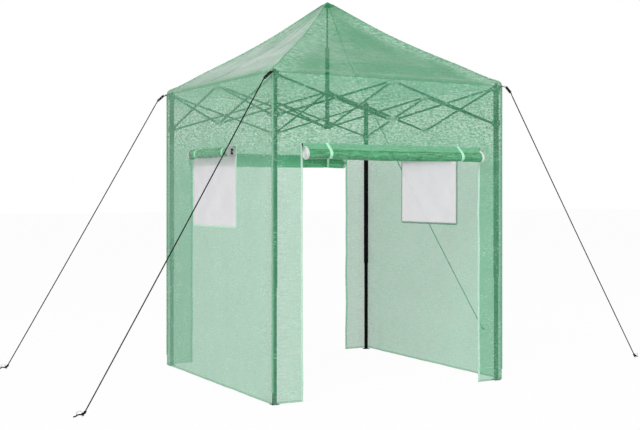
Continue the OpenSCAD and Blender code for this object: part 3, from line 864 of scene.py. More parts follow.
def wall_sheet(side):
    """One wall's film with its openings left out, and how much film that is."""
    door = side in (FRONT, BACK)
    cut = DOOR_HALF if door else WINDOW_HALF
    low, high = (HEM, DOOR_TOP) if door else (WINDOW_LOW, WINDOW_TOP)
    places = steps([-STRAIGHT, -cut, cut, STRAIGHT], CELL)
    bend = steps([STRAIGHT, HALF_RUN], CORNER_R * math.pi / 16)[1:]
    places = [-s for s in reversed(bend)] + places + bend
    heights = steps([HEM, DOOR_TOP, EAVE] if door else [HEM, low, high, EAVE], CELL)

    def hole(i, j):
        s, z = (places[i] + places[i + 1]) / 2, (heights[j] + heights[j + 1]) / 2
        return abs(s) < cut and low < z < high

    sheet = Shape()
    sheet.grid(len(places) - 1, len(heights) - 1,
               lambda i, j: wall_at(side, places[i], heights[j]),
               lambda i, j: (places[i] + 2 * side, heights[j]), hole)
    if door:
        names = [f"{SIDE_NAMES[side]}_{part}" for part in ("left_strip", "right_strip", "header")]
    else:
        names = [f"{SIDE_NAMES[side]}_wall"]
    made = piece(f"{SIDE_NAMES[side]}_film", sheet, wall_film, "cover", names)
    wide, tall = 2 * HALF_RUN, EAVE - HEM
    area = wide * tall - 2 * cut * (high - low)
    return made, area


walls = [wall_sheet(side) for side in range(4)]
for made, area in walls:
    print(made.name, len(made.data.polygons), "faces,", round(area, 2), "m2 of film")

# %% [markdown]
# ## The roof
#
# Four triangles of film are sewn into one low pyramid and pulled over the leg tops. The sewn hips sag
# below a straight line, the panels sag between them, and the leg tops lift the corners, so the roof is
# one curved skin. It is built as rings around the peak, which keeps the hips on grid lines.

# %% Where the roof's film is
HIP_SAG, PANEL_SAG = 0.024, 0.016
STRAIGHT_FROM = 0.8
CORNER_LIFT, LIFT_AT, LIFT_INWARD, LIFT_OUTWARD, LIFT_NARROW = 0.009, 0.965, 0.10, 0.02, 24
ROOF_HILLS = [(0.16, 0.16, 0.0022), (0.05, 0.035, 0.0007)]
RISE = PEAK - EAVE
SLOPE = math.hypot(WALL, RISE)


def roof_height(u, t):
    """The film's height: t is 0 at the peak and 1 at the eave, and u is -1 and 1 on the hips."""
    dip = HIP_SAG * math.sin(math.pi * t / STRAIGHT_FROM) ** 1.3 if t < STRAIGHT_FROM else 0.0
    spread = LIFT_INWARD if t < LIFT_AT else LIFT_OUTWARD
    lift = CORNER_LIFT * math.exp(-((t - LIFT_AT) / spread) ** 2)
    sag = PANEL_SAG * (1 - u * u) * math.sin(math.pi * t)
    return PEAK - RISE * t - dip + lift * abs(u) ** LIFT_NARROW - sag


def roof_folds(side, u, t):
    """Creases that run from the peak and from the corners, and small crumples."""
    x, y = u * t * WALL, (1 - t) * WALL
    fan = math.sin(u * 17 + side * 2) * 0.0016 * math.exp(-abs(t - 0.28) / 0.16) * fade(t, 0.02, 0.2)
    pulls = sum(corner_pulls((corner * WALL - x) * corner, y, 26, side, 0.26, 0.1) for corner in (-1, 1))
    soft = sum(hills(x, y, 0, wide, tall, side * 5, deep) for wide, tall, deep in ROOF_HILLS)
    held = fade(1 - t, 0.0, 0.05) * fade((1 - abs(u)) * t * WALL, 0.0, 0.03)
    return (fan + pulls * PULL_DEPTH + soft) * held


def roof_at(side, u, t, out=0.0):
    """A point of the roof. Near the eave it turns to follow the wall's own line."""
    square = turned(side, u * t * WALL, -t * WALL, 0)
    across = square.lerp(wall_at(side, u * HALF_RUN, EAVE), fade(t, 0.93, 1.0))
    return Vector((across.x, across.y, roof_height(u, t) + roof_folds(side, u, t) + out))


print("the roof rises", round(RISE, 3), "m over a slope of", round(SLOPE, 3), "m")

# %% Roof
ROOF_COLUMNS, ROOF_RINGS = 84, 90
ROOF_AROUND = 4 * ROOF_COLUMNS
rings = [1 - (1 - i / ROOF_RINGS) ** 1.15 for i in range(1, ROOF_RINGS + 1)]
roof = Shape()


def around(i):
    """The side and the place across it, from -1 to 1, of a column of the roof."""
    side, column = divmod(i % ROOF_AROUND, ROOF_COLUMNS)
    return side, 2 * column / ROOF_COLUMNS - 1


def roof_flat(i, j):
    """Where a point of the roof lies on the flat cloth, with the four panels side by side."""
    side, u = (LEFT, 1) if i == ROOF_AROUND else around(i)
    return u * rings[j] * WALL + 2 * side, rings[j] * SLOPE


roof.grid(ROOF_AROUND, ROOF_RINGS - 1, lambda i, j: roof_at(*around(i), rings[j]), roof_flat, around=True)
top = len(roof.points)
roof.points.append((0.0, 0.0, PEAK))
for i in range(ROOF_AROUND):
    roof.face((top, (i + 1) % ROOF_AROUND, i), [(i * 0.01, 0.0)] * 3)
made = piece("roof_film", roof, roof_film, "cover", [f"{name}_roof" for name in SIDE_NAMES])
print("roof:", len(roof.faces), "faces")

# %% [markdown]
# ## Seams, piping and hems
#
# The cover is cut in flat panels, and every join shows. Upright seams at the corners and the four hips
# stand up as a narrow welt between two rows of stitches, with the panels' edges turned in behind the
# corner seams. A thin piping runs round the eaves, and the lower edge is folded up inside. Each is a
# strip carried along the film by the same function that made the film, so it follows every ripple. The
# welts and folds are sheets one layer thick, as the film is, so that light still passes through them.

# %% Outlines and lines for trims
UP = Vector((0, 0, 1))
WELT = [(-0.0034, 0.0003), (-0.0022, 0.0010), (-0.0012, 0.0030), (0.0, 0.0037),
        (0.0012, 0.0030), (0.0022, 0.0010), (0.0034, 0.0003)]
HIP_WELT = [(-0.0050, 0.0006), (-0.0018, 0.0010), (-0.0012, 0.0044), (0.0, 0.0052),
            (0.0012, 0.0044), (0.0018, 0.0010), (0.0050, 0.0006)]


def tape(start, end, lift=0.0003, thick=0.0012):
    """The closed outline of a flat tape from start to end across, lying on a surface."""
    edge = thick * 0.45
    return [(start, lift + edge), (start + edge, lift), (end - edge, lift), (end, lift + edge),
            (end - edge, lift + thick), (start + edge, lift + thick)]


def disc(radius, sides=8, rise=0.0):
    """A round outline, which rise lifts off the surface that it runs along."""
    turns = [2 * math.pi * i / sides for i in range(sides)]
    return [(radius * math.cos(t), radius * math.sin(t) + rise) for t in turns]


def corner_at(side, across, z, out=0.0):
    """A point by the corner that a side shares with the next one. across is below 0 on this side."""
    if across <= 0:
        return wall_at(side, HALF_RUN + across, z, out)
    return wall_at((side + 1) % 4, across - HALF_RUN, z, out)


def hip_at(side, across, t, out=0.0):
    """A point by the hip that a roof panel shares with the next one."""
    u = 1 - abs(across) / (t * WALL)
    return roof_at(side, u, t, out) if across <= 0 else roof_at((side + 1) % 4, -u, t, out)


print("outlines ready")

# %% Seams, piping and hem
corner_seams, turn_ins, hip_seams = Shape(), Shape(), Shape()
piping, hem, thread = Shape(), Shape(), Shape()
SEAM_FOOT, PIPING_R = HEM + 0.065, 0.0016
corner_heights = steps([SEAM_FOOT, EAVE], CELL)
hip_runs = steps([0.03, 0.99], 0.011)
eave_runs = steps([-HALF_RUN, -STRAIGHT, STRAIGHT, HALF_RUN], CELL)
HEM_FOLD = [(0.012, -0.0007), (0.0015, -0.0009), (-0.0006, -0.0002), (0.0002, 0.0006)]
TURN_IN = [(0.0002, -0.0010), (0.0105, -0.0014)]
HEM_STITCH, CORNER_STITCH, HIP_STITCH = 0.010, 0.0055, 0.0068


def hem_lines(side):
    """The stretches of a side's hem, which a doorway breaks."""
    if side in (LEFT, RIGHT):
        return [steps([-HALF_RUN, HALF_RUN], CELL)]
    return [steps([-HALF_RUN, -DOOR_HALF], CELL), steps([DOOR_HALF, HALF_RUN], CELL)]


for side in range(4):
    corner_seams.strip(WELT, corner_heights, lambda z, x, y: corner_at(side, x, z, y), closed=False)
    for hand in (-1, 1):
        turn_ins.strip([(x * hand, y) for x, y in TURN_IN], corner_heights,
                       lambda z, x, y: corner_at(side, x, z, y), closed=False)
    hip_seams.strip(HIP_WELT, hip_runs, lambda t, x, y: hip_at(side, x, t, y), closed=False)
    piping.strip(disc(PIPING_R, rise=0.0006), eave_runs, lambda s, x, y: wall_at(side, s, EAVE + x, y))
    for line in hem_lines(side):
        hem.strip(HEM_FOLD, line, lambda s, x, y: wall_at(side, s, HEM + x, y), closed=False)
        thread.stitches([wall_at(side, s, HEM + HEM_STITCH, 0.0002) for s in line],
                        [wall_facing(side, s) for s in line])
    for across in (-CORNER_STITCH, CORNER_STITCH):
        facing = wall_facing(side if across < 0 else (side + 1) % 4, 0)
        line = [corner_at(side, across, z, 0.0002) for z in corner_heights]
        thread.stitches(line, [facing] * len(line))
    for across in (-HIP_STITCH, HIP_STITCH):
        line = [hip_at(side, across, t, 0.0004) for t in hip_runs]
        thread.stitches(line, [UP] * len(line))
piece("corner_seams", corner_seams, seam_tape, "cover")
piece("corner_turn_ins", turn_ins, seam_tape, "cover")
piece("hip_seams", hip_seams, roof_film, "cover")
piece("eave_piping", piping, wall_film, "cover")
piece("hem_fold", hem, hem_film, "cover")
piece("seam_thread", thread, pale_thread, "cover")
print("stitches:", len(thread.faces) // 4)

# %% [markdown]
# ## A patch at the peak
#
# The four hips meet in one point over the cap of the centre rod, where the film would wear through.
# A second layer of film is sewn over it. It is a small cone that lies on the roof's own surface.

# %% Peak patch
PATCH_STEP, PATCH_LIFT = 4, 0.0022
patch = Shape()
patch_rings = [0.004, 0.012, 0.022, 0.034, 0.046]
patch.grid(ROOF_AROUND // PATCH_STEP, len(patch_rings) - 1,
           lambda i, j: roof_at(*around(PATCH_STEP * i), patch_rings[j], PATCH_LIFT),
           lambda i, j: (i * patch_rings[j] / 10, patch_rings[j]), around=True)
piece("peak_patch", patch, roof_film, "cover")
print("patch:", len(patch.faces), "faces")

# %% [markdown]
# ## Zips
#
# Both edges of a doorway and three edges of a window carry a zip: a pale woven tape with a row of small
# plastic teeth along its free edge. Each tape is a flat strip with rounded edges, and each tooth is a
# short raised thread at a 3 mm pitch, which is what a coil zip looks like. The zips run on behind the
# rolls, up to the seam that a flap hangs from. A window's zip is one line: down, along the sill and up.

# %% Zip tapes and teeth
ZIP_END = DOOR_TOP + DOOR_RISE + 0.002
WINDOW_ZIP_END = WINDOW_TOP + 0.04
ZIP_BEND, ZIP_GAP = 0.008, 0.004
TOOTH_PITCH, TOOTH_LONG = 0.003, 0.0024
zips, teeth = Shape(), Shape()


def zip_along(side, stops, at, edge, far, seam, tooth):
    """A tape with teeth along its free edge and stitches through it. tooth is how wide and high one is.
    at(stop, across, out) gives a point of the wall by the zip."""
    zips.strip(tape(edge, far), stops, at)
    facing = [wall_facing(side, 0)] * len(stops)
    tooth_line = [at(stop, edge - 0.0008, 0.0008) for stop in stops]
    teeth.stitches(tooth_line, facing, TOOTH_PITCH, TOOTH_LONG, *tooth)
    teeth.stitches([at(stop, seam, 0.0014) for stop in stops], facing)


def window_line():
    """The line of a window's zip, down one side, along the bottom and up the other: (s, z, outward s, z)."""
    wide, low = WINDOW_HALF + ZIP_GAP, WINDOW_LOW - ZIP_GAP
    half = [(-wide, z, -1, 0) for z in reversed(steps([low + ZIP_BEND, WINDOW_ZIP_END], CELL))]
    for k in range(1, 6):
        c, s = math.cos(math.pi / 2 * k / 6), math.sin(math.pi / 2 * k / 6)
        half.append((-wide + ZIP_BEND * (1 - c), low + ZIP_BEND * (1 - s), -c, -s))
    sill = [(s, low, 0, -1) for s in steps([ZIP_BEND - wide, wide - ZIP_BEND], CELL)]
    return half + sill + [(-s, z, -out, up) for s, z, out, up in reversed(half)]


for side in (FRONT, BACK):
    for hand in (-1, 1):
        zip_along(side, steps([HEM, ZIP_END], CELL),
                  lambda z, x, y: wall_at(side, hand * (DOOR_HALF + x), z, y),
                  edge=-0.009, far=0.003, seam=0.0012, tooth=(0.0036, 0.0013))
for side in (LEFT, RIGHT):
    zip_along(side, window_line(), lambda p, x, y: wall_at(side, p[0] + p[2] * x, p[1] + p[3] * x, y),
              edge=-0.004, far=0.009, seam=0.0025, tooth=(0.0034, 0.0012))
piece("zip_tapes", zips, zip_tape, "webbing", ["door_zips"])
piece("zip_teeth", teeth, nylon, "webbing")
print("zip teeth and stitches:", len(teeth.faces) // 4)

# %% [markdown]
# ## Window mesh
#
# Each window is closed by white net, sewn in behind the film and left a little slack. It is a sheet of
# its own with the wall's ripple, a few millimetres larger than the opening.

# %% Window mesh
MESH_SEAM, MESH_BEHIND = 0.008, 0.0012
for side in (LEFT, RIGHT):
    across = steps([-WINDOW_HALF - MESH_SEAM, WINDOW_HALF + MESH_SEAM], CELL)
    heights = steps([WINDOW_LOW - MESH_SEAM, WINDOW_TOP + MESH_SEAM], CELL)
    mesh = Shape()
    mesh.grid(len(across) - 1, len(heights) - 1,
              lambda i, j: wall_at(side, across[i], heights[j], -MESH_BEHIND),
              lambda i, j: (across[i], heights[j]))
    name = SIDE_NAMES[side] + "_window_mesh"
    made = piece(SIDE_NAMES[side] + "_window_net", mesh, mesh_net, "window_mesh", [name])
    across[-1] - across[0]
    heights[-1] - heights[0]
    print(made.name, len(mesh.faces), "faces")

# %% [markdown]
# ## Rolled doors and flaps
#
# A rolled flap is a spiral: one sheet that leaves the wall at its seam, drops straight onto the roll,
# and then winds inwards, turn on turn. Modelling the whole spiral gives true ends, where the layers
# show, and it is the only way to keep the cloth's real length. All turns share one set of dents, so
# they never cross. The two ties squeeze the roll, and the cloth puckers beside them.

# %% Where a rolled flap is
CLEAR = 0.0014
DENTS = [(0.08, 1.1, 0, 0.0018), (0.28, 3.4, 5, 0.0020), (0.05, 5.0, 9, 0.0008)]
SQUEEZE, SQUEEZE_WIDE = 0.0036, 0.019
CORE = 0.0015


class Roll:
    """A flap rolled up outside a wall, CLEAR of its film, round a hollow CORE. Places across the roll are
    (towards the wall, up) from its middle. lead is the cloth between the seam and the roll, and leave
    the angle at which it meets the roll."""

    def __init__(self, node, side, cloth, rise, ties, seed):
        low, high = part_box(node)
        axis, hand = (1 if side in (LEFT, RIGHT) else 0), (1 if side in (FRONT, RIGHT) else -1)
        ends = sorted((low[axis] * hand, high[axis] * hand))
        self.side, self.rise, self.seed = side, rise, seed
        self.middle, self.half = sum(ends) / 2, (ends[1] - ends[0]) / 2
        self.gap, self.height = (high.z - low.z) / 2, (high.z + low.z) / 2
        self.radius = self.gap - CLEAR
        self.ties = [self.middle - ties, self.middle + ties]
        self.leave = math.atan2(rise, self.gap) + math.acos(self.radius / math.hypot(rise, self.gap))
        self.lead = math.sqrt(rise ** 2 + self.gap ** 2 - self.radius ** 2)
        self.pitch = math.pi * (self.radius ** 2 - CORE ** 2) / (cloth - self.lead)
        self.winding = (self.radius - CORE) / self.pitch * 2 * math.pi

    def swell(self, x, turn):
        """How far the roll stands out of round: dents, the squeeze of the ties, and puckers beside them."""
        c, s = math.cos(turn), math.sin(turn)
        dents = sum(drift(x / long, c * fine, s * fine, self.seed + layer) * deep
                    for long, fine, layer, deep in DENTS)
        for tie in self.ties:
            off = abs(x - tie)
            dents -= SQUEEZE * math.exp(-(off / SQUEEZE_WIDE) ** 2)
            dents += 0.0012 * math.sin(turn * 11 + tie * 9) * math.exp(-abs(off - 0.026) / 0.022)
        return dents

    def spot(self, x, towards, up):
        """A point of the building, from a place across the roll."""
        return turned(self.side, x, towards - WALL - self.gap, self.height + up)

    def droop(self, x):
        """How far the roll sags between its ties."""
        near = sum(math.exp(-((x - tie) / 0.13) ** 2) for tie in self.ties)
        return 0.0024 * (1 - min(1.0, near))

    def outer(self, x, turn):
        """The radius of the outside of the roll."""
        return self.radius - self.pitch * (turn - self.leave) / (2 * math.pi) + self.swell(x, turn)

    def at(self, x, run, out=0.0):
        """A point of the flap: x along the roll, and run metres down the flap from its seam."""
        c, s = math.cos(self.leave), math.sin(self.leave)
        if run < self.lead:
            share = run / self.lead
            seam = Vector((self.gap - CLEAR - ripple(self.side, x, self.height + self.rise), self.rise))
            touch = Vector((c, s)) * self.outer(x, self.leave) - Vector((0, self.droop(x)))
            slack = 4 * share * (1 - share) * 0.0016
            spot = seam.lerp(touch, share)
            spot += Vector((c, s)) * (out + drift(x / 0.06, run / 0.02, 0, self.seed) * slack)
            return self.spot(x, spot.x, spot.y)
        wound = self.radius ** 2 - self.pitch * (run - self.lead) / math.pi
        turn = (self.radius - math.sqrt(max(wound, 0))) * 2 * math.pi / self.pitch
        flat = self.radius - self.pitch * turn / (2 * math.pi)
        turn += self.leave
        reach = flat + out + self.swell(x, turn) * (0.3 + 0.7 * flat / self.radius)
        near_end = ((x - self.middle) / self.half) ** 7
        x += near_end * drift(turn / 2.6, self.seed, 0) * 0.004
        return self.spot(x, reach * math.cos(turn), reach * math.sin(turn) - self.droop(x))

    def runs(self, fine, coarse):
        """Stops down the flap: fine steps on the first turn, and coarse ones inside, in degrees."""
        turns, stops = [0.0], [self.lead * k / 4 for k in range(4)]
        while turns[-1] < self.winding:
            turns.append(turns[-1] + math.radians(fine if turns[-1] < 6.6 else coarse))
        turns[-1] = self.winding
        return stops + [self.lead + self.radius * t - self.pitch * t * t / (4 * math.pi) for t in turns]


DOOR_CLOTH = DOOR_TOP + DOOR_RISE - HEM
FLAP_CLOTH = WINDOW_TOP + FLAP_RISE - WINDOW_LOW + 0.02
DOOR_TIES, FLAP_TIES = 0.456, 0.208
front_door = Roll("front_door_roll", FRONT, DOOR_CLOTH, DOOR_RISE, DOOR_TIES, seed=2.0)
back_door = Roll("back_door_roll", BACK, DOOR_CLOTH, DOOR_RISE, DOOR_TIES, seed=7.0)
left_flap = Roll("left_flap_roll", LEFT, FLAP_CLOTH, FLAP_RISE, FLAP_TIES, seed=12.0)
right_flap = Roll("right_flap_roll", RIGHT, FLAP_CLOTH, FLAP_RISE, FLAP_TIES, seed=19.0)
FINE, COARSE = 9, 20
for name, roll in (("front door", front_door), ("left flap", left_flap)):
    cloth = roll.runs(FINE, COARSE)[-1]
    print(name, "winds", round(roll.winding / 2 / math.pi, 1), "turns, cloth", round(cloth, 3), "m")

# %% Rolled doors and flaps
RIM = [(-0.012, 0.0002), (0.0, 0.0002), (0.0006, -0.0001), (0.0022, -0.0001), (0.0028, 0.0007),
       (0.0022, 0.0016), (0.0006, 0.0016), (0.0, 0.0012), (-0.012, 0.0012)]


def rolled_flap(name, roll, node, finish, rim_finish):
    """The wound sheet, and the zip tape that runs along each of its ends."""
    across = steps([roll.middle - roll.half] + roll.ties + [roll.middle + roll.half], 0.009)
    runs = roll.runs(FINE, COARSE)
    sheet = Shape()
    sheet.grid(len(across) - 1, len(runs) - 1,
               lambda i, j: roll.at(across[i], runs[j]), lambda i, j: (across[i], runs[j]))
    made = piece(name, sheet, finish, "rolled_cover", [node])
    rims = Shape()
    fill = 0.85 * roll.pitch / 0.0016
    for hand in (-1, 1):
        edge = roll.middle + hand * (roll.half - 0.0015)
        rims.strip(RIM, runs[2:], lambda run, x, y: roll.at(edge + hand * x, run, y * fill))
    rim = piece(name + "_zip_tape", rims, rim_finish, "rolled_cover")
    2 * roll.half
    return made


for name, roll, node, finishes in (
        ("front_door_flap", front_door, "front_door_roll", (door_rolled_film, rim_tape)),
        ("back_door_flap", back_door, "back_door_roll", (back_rolled_film_with_painted_light, rim_tape)),
        ("left_window_flap", left_flap, "left_flap_roll", (flap_rolled_film, flap_rim_tape_with_painted_shade)),
        ("right_window_flap", right_flap, "right_flap_roll", (flap_rolled_film, flap_rim_tape_with_painted_shade))):
    made = rolled_flap(name, roll, node, *finishes)
    print(made.name, len(made.data.polygons), "faces")

# %% [markdown]
# ## Ties
#
# Woven straps hold the rolls up. A door's strap is one loop: it leaves the wall above the roll, goes
# round its front and comes up again inside the doorway. A window flap's strap comes back between the
# roll and the wall. Each is a flat tape swept round the dented roll, at the roll's own radius there.

# %% Tie straps
TIE_HALF, TIE_THICK, TIE_OFF, TIE_STITCH = 0.010, 0.0014, 0.0008, 0.0082
TIE_THREAD = (0.004, 0.0028, 0.0009, 0.0004)


def tie_line(roll, x, end, inside):
    """The line of a strap across a roll, and which way its outer face looks at each point."""
    c, s = math.cos(roll.leave), math.sin(roll.leave)
    drop, film = roll.droop(x), roll.gap - ripple(roll.side, x, roll.height + roll.rise)
    line = [(film - 0.0026, roll.rise + 0.005, -1, 0), (film - 0.0028, roll.rise + 0.001, -1, 0.05)]
    seam = Vector((film - 0.003, roll.rise))
    touch = Vector((c, s)) * (roll.outer(x, roll.leave) + TIE_OFF) - Vector((0, drop))
    for share in (0.25, 0.5, 0.75):
        spot = seam.lerp(touch, share)
        line.append((spot.x, spot.y, c, s))
    for k in range(int((end - math.degrees(roll.leave)) // 6) + 1):
        turn = roll.leave + math.radians(6 * k)
        reach = roll.outer(x, turn) + TIE_OFF
        line.append((reach * math.cos(turn), reach * math.sin(turn) - drop, math.cos(turn), math.sin(turn)))
    if inside:
        low = line[-1][1] - 0.0004
        line += [(roll.gap * 0.45, low, 0, -1), (roll.gap, low, 0, -1)]
        line.append((roll.gap + 0.005, low + 0.002, 0.7, -0.7))
        for k in range(1, 9):
            up = low + (roll.rise - low) * k / 8
            line.append((roll.gap + 0.0062 - ripple(roll.side, x, roll.height + up), up, 1, 0))
    path = [roll.spot(x, towards, up) for towards, up, _, _ in line]
    facing = [(roll.spot(x, a, b) - roll.spot(x, 0, 0)).normalized() for _, _, a, b in line]
    return path, facing


straps, strap_thread = Shape(), Shape()
for roll, end, inside in ((front_door, 270, True), (back_door, 270, True),
                          (left_flap, 340, False), (right_flap, 340, False)):
    sideways = turned(roll.side, 1, 0, 0)
    for x in roll.ties:
        path, facing = tie_line(roll, x, end, inside)
        straps.sweep(path, facing, tape(-TIE_HALF, TIE_HALF, 0.0, TIE_THICK))
        for off in (-TIE_STITCH, TIE_STITCH):
            lifted = [p + n * 0.0013 + sideways * off for p, n in zip(path, facing)]
            strap_thread.stitches(lifted, facing, *TIE_THREAD)
piece("tie_straps", straps, tie_tape, "webbing", ["roll_ties"])
piece("tie_thread", strap_thread, pale_thread, "webbing")
print("ties:", len(straps.faces), "faces")

# %% [markdown]
# ## Zip sliders
#
# Each door zip is parked at its top, where the slider and its puller hang beside the end of the roll.
# The sliders of a window flap are rolled up with it and show at its ends. All are small moulded blocks
# with rounded rims, each placed by a function that knows which way is out of the wall or of the roll.

# %% Sliders and pullers
def on_wall(side, s, z, out=0.0):
    """Places a small block on a wall: x sideways, y up and z out."""
    at, facing = wall_at(side, s, z, out), wall_facing(side, s)
    sideways = UP.cross(facing)
    return lambda x, y, up: at + sideways * x + UP * y + facing * up


def on_roll_end(roll, hand, rise):
    """Places a small block on the end of a roll: x away from the wall, y up and z along the roll."""
    at = turned(roll.side, roll.middle + hand * (roll.half + 0.003), -WALL - roll.gap, roll.height + rise)
    ahead, along = turned(roll.side, 0, hand, 0), turned(roll.side, hand, 0, 0)
    return lambda x, y, out: at + ahead * x + UP * y + along * out


def rounded(wide, deep, radius, sides=3, x=0.0, y=0.0):
    """The outline of a rectangle with rounded corners, as a function of how far it is drawn in."""
    def outline(inset):
        spots = []
        for k in range(4 * (sides + 1)):
            quarter, step = divmod(k, sides + 1)
            turn = math.pi / 2 * (quarter + step / sides)
            right, up = (1, -1, -1, 1)[quarter], (1, 1, -1, -1)[quarter]
            spots.append((x + right * (wide / 2 - radius) + (radius - inset) * math.cos(turn),
                          y + up * (deep / 2 - radius) + (radius - inset) * math.sin(turn)))
        return spots
    return outline


def door_slider(shape, place):
    """A zip's slider: its body, the bridge on top, the ring, and a puller with three grip ridges."""
    shape.block(rounded(0.0075, 0.011, 0.0026), 0.0, 0.0042, 0.0012, place)
    shape.block(rounded(0.0028, 0.008, 0.0012), 0.0040, 0.0066, 0.0008, place)
    shape.block(rounded(0.0038, 0.007, 0.0016, y=-0.0050), 0.0054, 0.0070, 0.0006, place)
    shape.block(rounded(0.0048, 0.010, 0.0020, y=-0.0110), 0.0050, 0.0064, 0.0005, place)
    for k in range(3):
        shape.block(rounded(0.0032, 0.0009, 0.0004, y=-0.0085 - 0.0024 * k), 0.0062, 0.0069, 0.0003, place)


def flap_slider(shape, place):
    """A slider that is half wound in, of which the body and a bridge show."""
    shape.block(rounded(0.013, 0.012, 0.0036), 0.0, 0.0048, 0.0014, place)
    shape.block(rounded(0.0036, 0.009, 0.0014), 0.0046, 0.0070, 0.0008, place)


sliders = Shape()
for side in (FRONT, BACK):
    for hand in (-1, 1):
        door_slider(sliders, on_wall(side, hand * (DOOR_HALF - 0.0045), ZIP_END - 0.008, 0.0012))
for roll in (left_flap, right_flap):
    for hand in (-1, 1):
        for rise in (-0.0105, 0.0115):
            flap_slider(sliders, on_roll_end(roll, hand, rise))
piece("zip_sliders", sliders, black_plastic, "black_plastic")
print("sliders:", len(sliders.faces), "faces")

# %% [markdown]
# ## Legs
#
# Each leg is two square steel tubes, one sliding in the other. A real tube is rolled from strip, so its
# edges are round, and that soft edge is what catches the light. So each is a rounded square pushed up
# from its lower end to its upper end, with a spring button that locks the two together.

# %% Legs and their buttons
SPRING_BUTTON = [(0.0036, 0.0), (0.0036, 0.0028), (0.0031, 0.0044), (0.0018, 0.0054), (0.0004, 0.0057)]
BUTTON_UP, BUTTON_IN = 0.720, 0.0098
for front, sy in (("front", -1), ("back", 1)):
    for hand, sx in (("left", -1), ("right", 1)):
        for part, radius in (("upper", 0.0026), ("lower", 0.0022)):
            node = f"{front}_{hand}_{part}_leg"
            low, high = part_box(node)
            wide = high.x - low.x
            x_at, y_at = sx * LEG, sy * (LEG - BUTTON_IN)
            tube = Shape()
            tube.block(rounded(wide, wide, radius, 4), low.z, high.z, 0.0005,
                       lambda x, y, z: Vector((x_at + x, sy * LEG + y, z)))
            if part == "lower":
                tube.lathe(SPRING_BUTTON, 16,
                           lambda x, y, z: Vector((x_at + x, y_at - sy * z, BUTTON_UP + y)))
            piece(node + "_tube", tube, steel, "steel", [node], sharp=40)
print("legs stand at", round(LEG, 3))

# %% [markdown]
# ## Frame pieces with softened edges
#
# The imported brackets, bars, hubs and pins have the right shape but knife edges, and nothing moulded or
# pressed has those. A Bevel modifier would do, but it needs clean faces, so the mesh is copied, its
# triangles are merged back into whole faces, and the sharp edges are then rounded with two segments.

# %% Softened frame pieces
def softened(node, width, finish, slot):
    """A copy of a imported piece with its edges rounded."""
    solid = bmesh.new()
    solid.from_mesh(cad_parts[node].data)
    bmesh.ops.remove_doubles(solid, verts=solid.verts, dist=1e-5)
    bmesh.ops.dissolve_limit(solid, angle_limit=math.radians(2), verts=solid.verts, edges=solid.edges)
    sharp = [e for e in solid.edges if len(e.link_faces) == 2 and e.calc_face_angle() > math.radians(35)]
    bmesh.ops.bevel(solid, geom=sharp, offset=width, segments=2, profile=0.5,
                    affect="EDGES", clamp_overlap=True)
    mesh = bpy.data.meshes.new(node + "_rounded")
    solid.to_mesh(mesh)
    solid.free()
    return placed(node + "_rounded", mesh, finish, slot, [node], sharp=38)


SOFTENED = [
    (0.0007, steel, "steel", ["foot_plates"]),
    (0.0012, black_plastic, "black_plastic", ["leg_top_brackets", "leg_sliders"]),
    (0.0014, black_plastic, "black_plastic", ["upper_hub", "lower_hub", "peak_cap"]),
    (0.0012, grey_plastic, "joint_plastic", ["upper_truss_joints", "lower_truss_joints"]),
    (0.0004, nylon, "joint_plastic", ["pivot_washers"]),
    (0.0005, zinc, "zinc", ["pivot_pins"]),
    (0.0012, steel, "steel", ["front_truss", "right_truss", "back_truss", "left_truss", "inner_truss"]),
    (0.0005, steel, "steel", ["centre_pole", "centre_rod"]),
    (0.0009, black_plastic, "black_plastic", ["rope_tighteners"]),
]
for width, finish, slot, nodes in SOFTENED:
    for node in nodes:
        made = softened(node, width, finish, slot)
        print(made.name, len(made.data.polygons), "faces")

# %% [markdown]
# ## Screws and ribs on the brackets
#
# The moulded brackets are clamped to the legs by small pan-head screws, and moulded pieces are thin,
# with ribs to stiffen them. Each screw head is a turned profile, two to a bracket's outer face and one
# in the joint at the middle of a side. Each rib is a small rounded block beside them.

# %% Screws and ribs
screws, ribs = Shape(), Shape()
PAN_HEAD = [(0.0034, 0.0), (0.0036, 0.0008), (0.0031, 0.0019), (0.0019, 0.0025), (0.0004, 0.0027)]
BRACKET_FACE, JOINT_FACE = LEG + 0.017, LEG + 0.014
SCREW_UP, RIB_ASIDE, RIB_TALL, RIB_SUNK = 0.0085, 0.012, 0.030, 0.0002


def screw(side, s, face, z):
    """A screw's head on a face that is so far from the middle of the building."""
    screws.lathe(PAN_HEAD, 14, lambda x, y, out: turned(side, s + x, -(face + out), z + y))


def rib(side, s, face, z):
    """An upright rib on such a face."""
    ribs.block(rounded(0.0024, RIB_TALL, 0.0010), 0.0, 0.0016, 0.0006,
               lambda x, y, out: turned(side, s + x, -(face + out), z + y))


for side in range(4):
    for hand in (-1, 1):
        for middle in (TRUSS_TOP, TRUSS_LOW):
            for up in (-SCREW_UP, SCREW_UP):
                screw(side, hand * LEG, BRACKET_FACE, middle + up)
            for off in (-RIB_ASIDE, RIB_ASIDE):
                rib(side, hand * LEG + off, BRACKET_FACE - RIB_SUNK, middle)
    for middle in (TRUSS_TOP, TRUSS_LOW):
        screw(side, 0, JOINT_FACE, middle)
piece("bracket_screws", screws, zinc, "zinc", sharp=50)
piece("bracket_ribs", ribs, black_plastic, "black_plastic", sharp=50)
print("screws:", len(screws.faces), "faces")

# %% [markdown]
# ## Lines for ropes
#
# A rope needs a smooth line and a steady outline. The line is a soft curve through a few given points,
# or a coil, whose turns a loop works out. The outline has three lobes, for the three strands that the
# rope is laid from, and turns as it is swept along: once in 24 mm gives the twist.

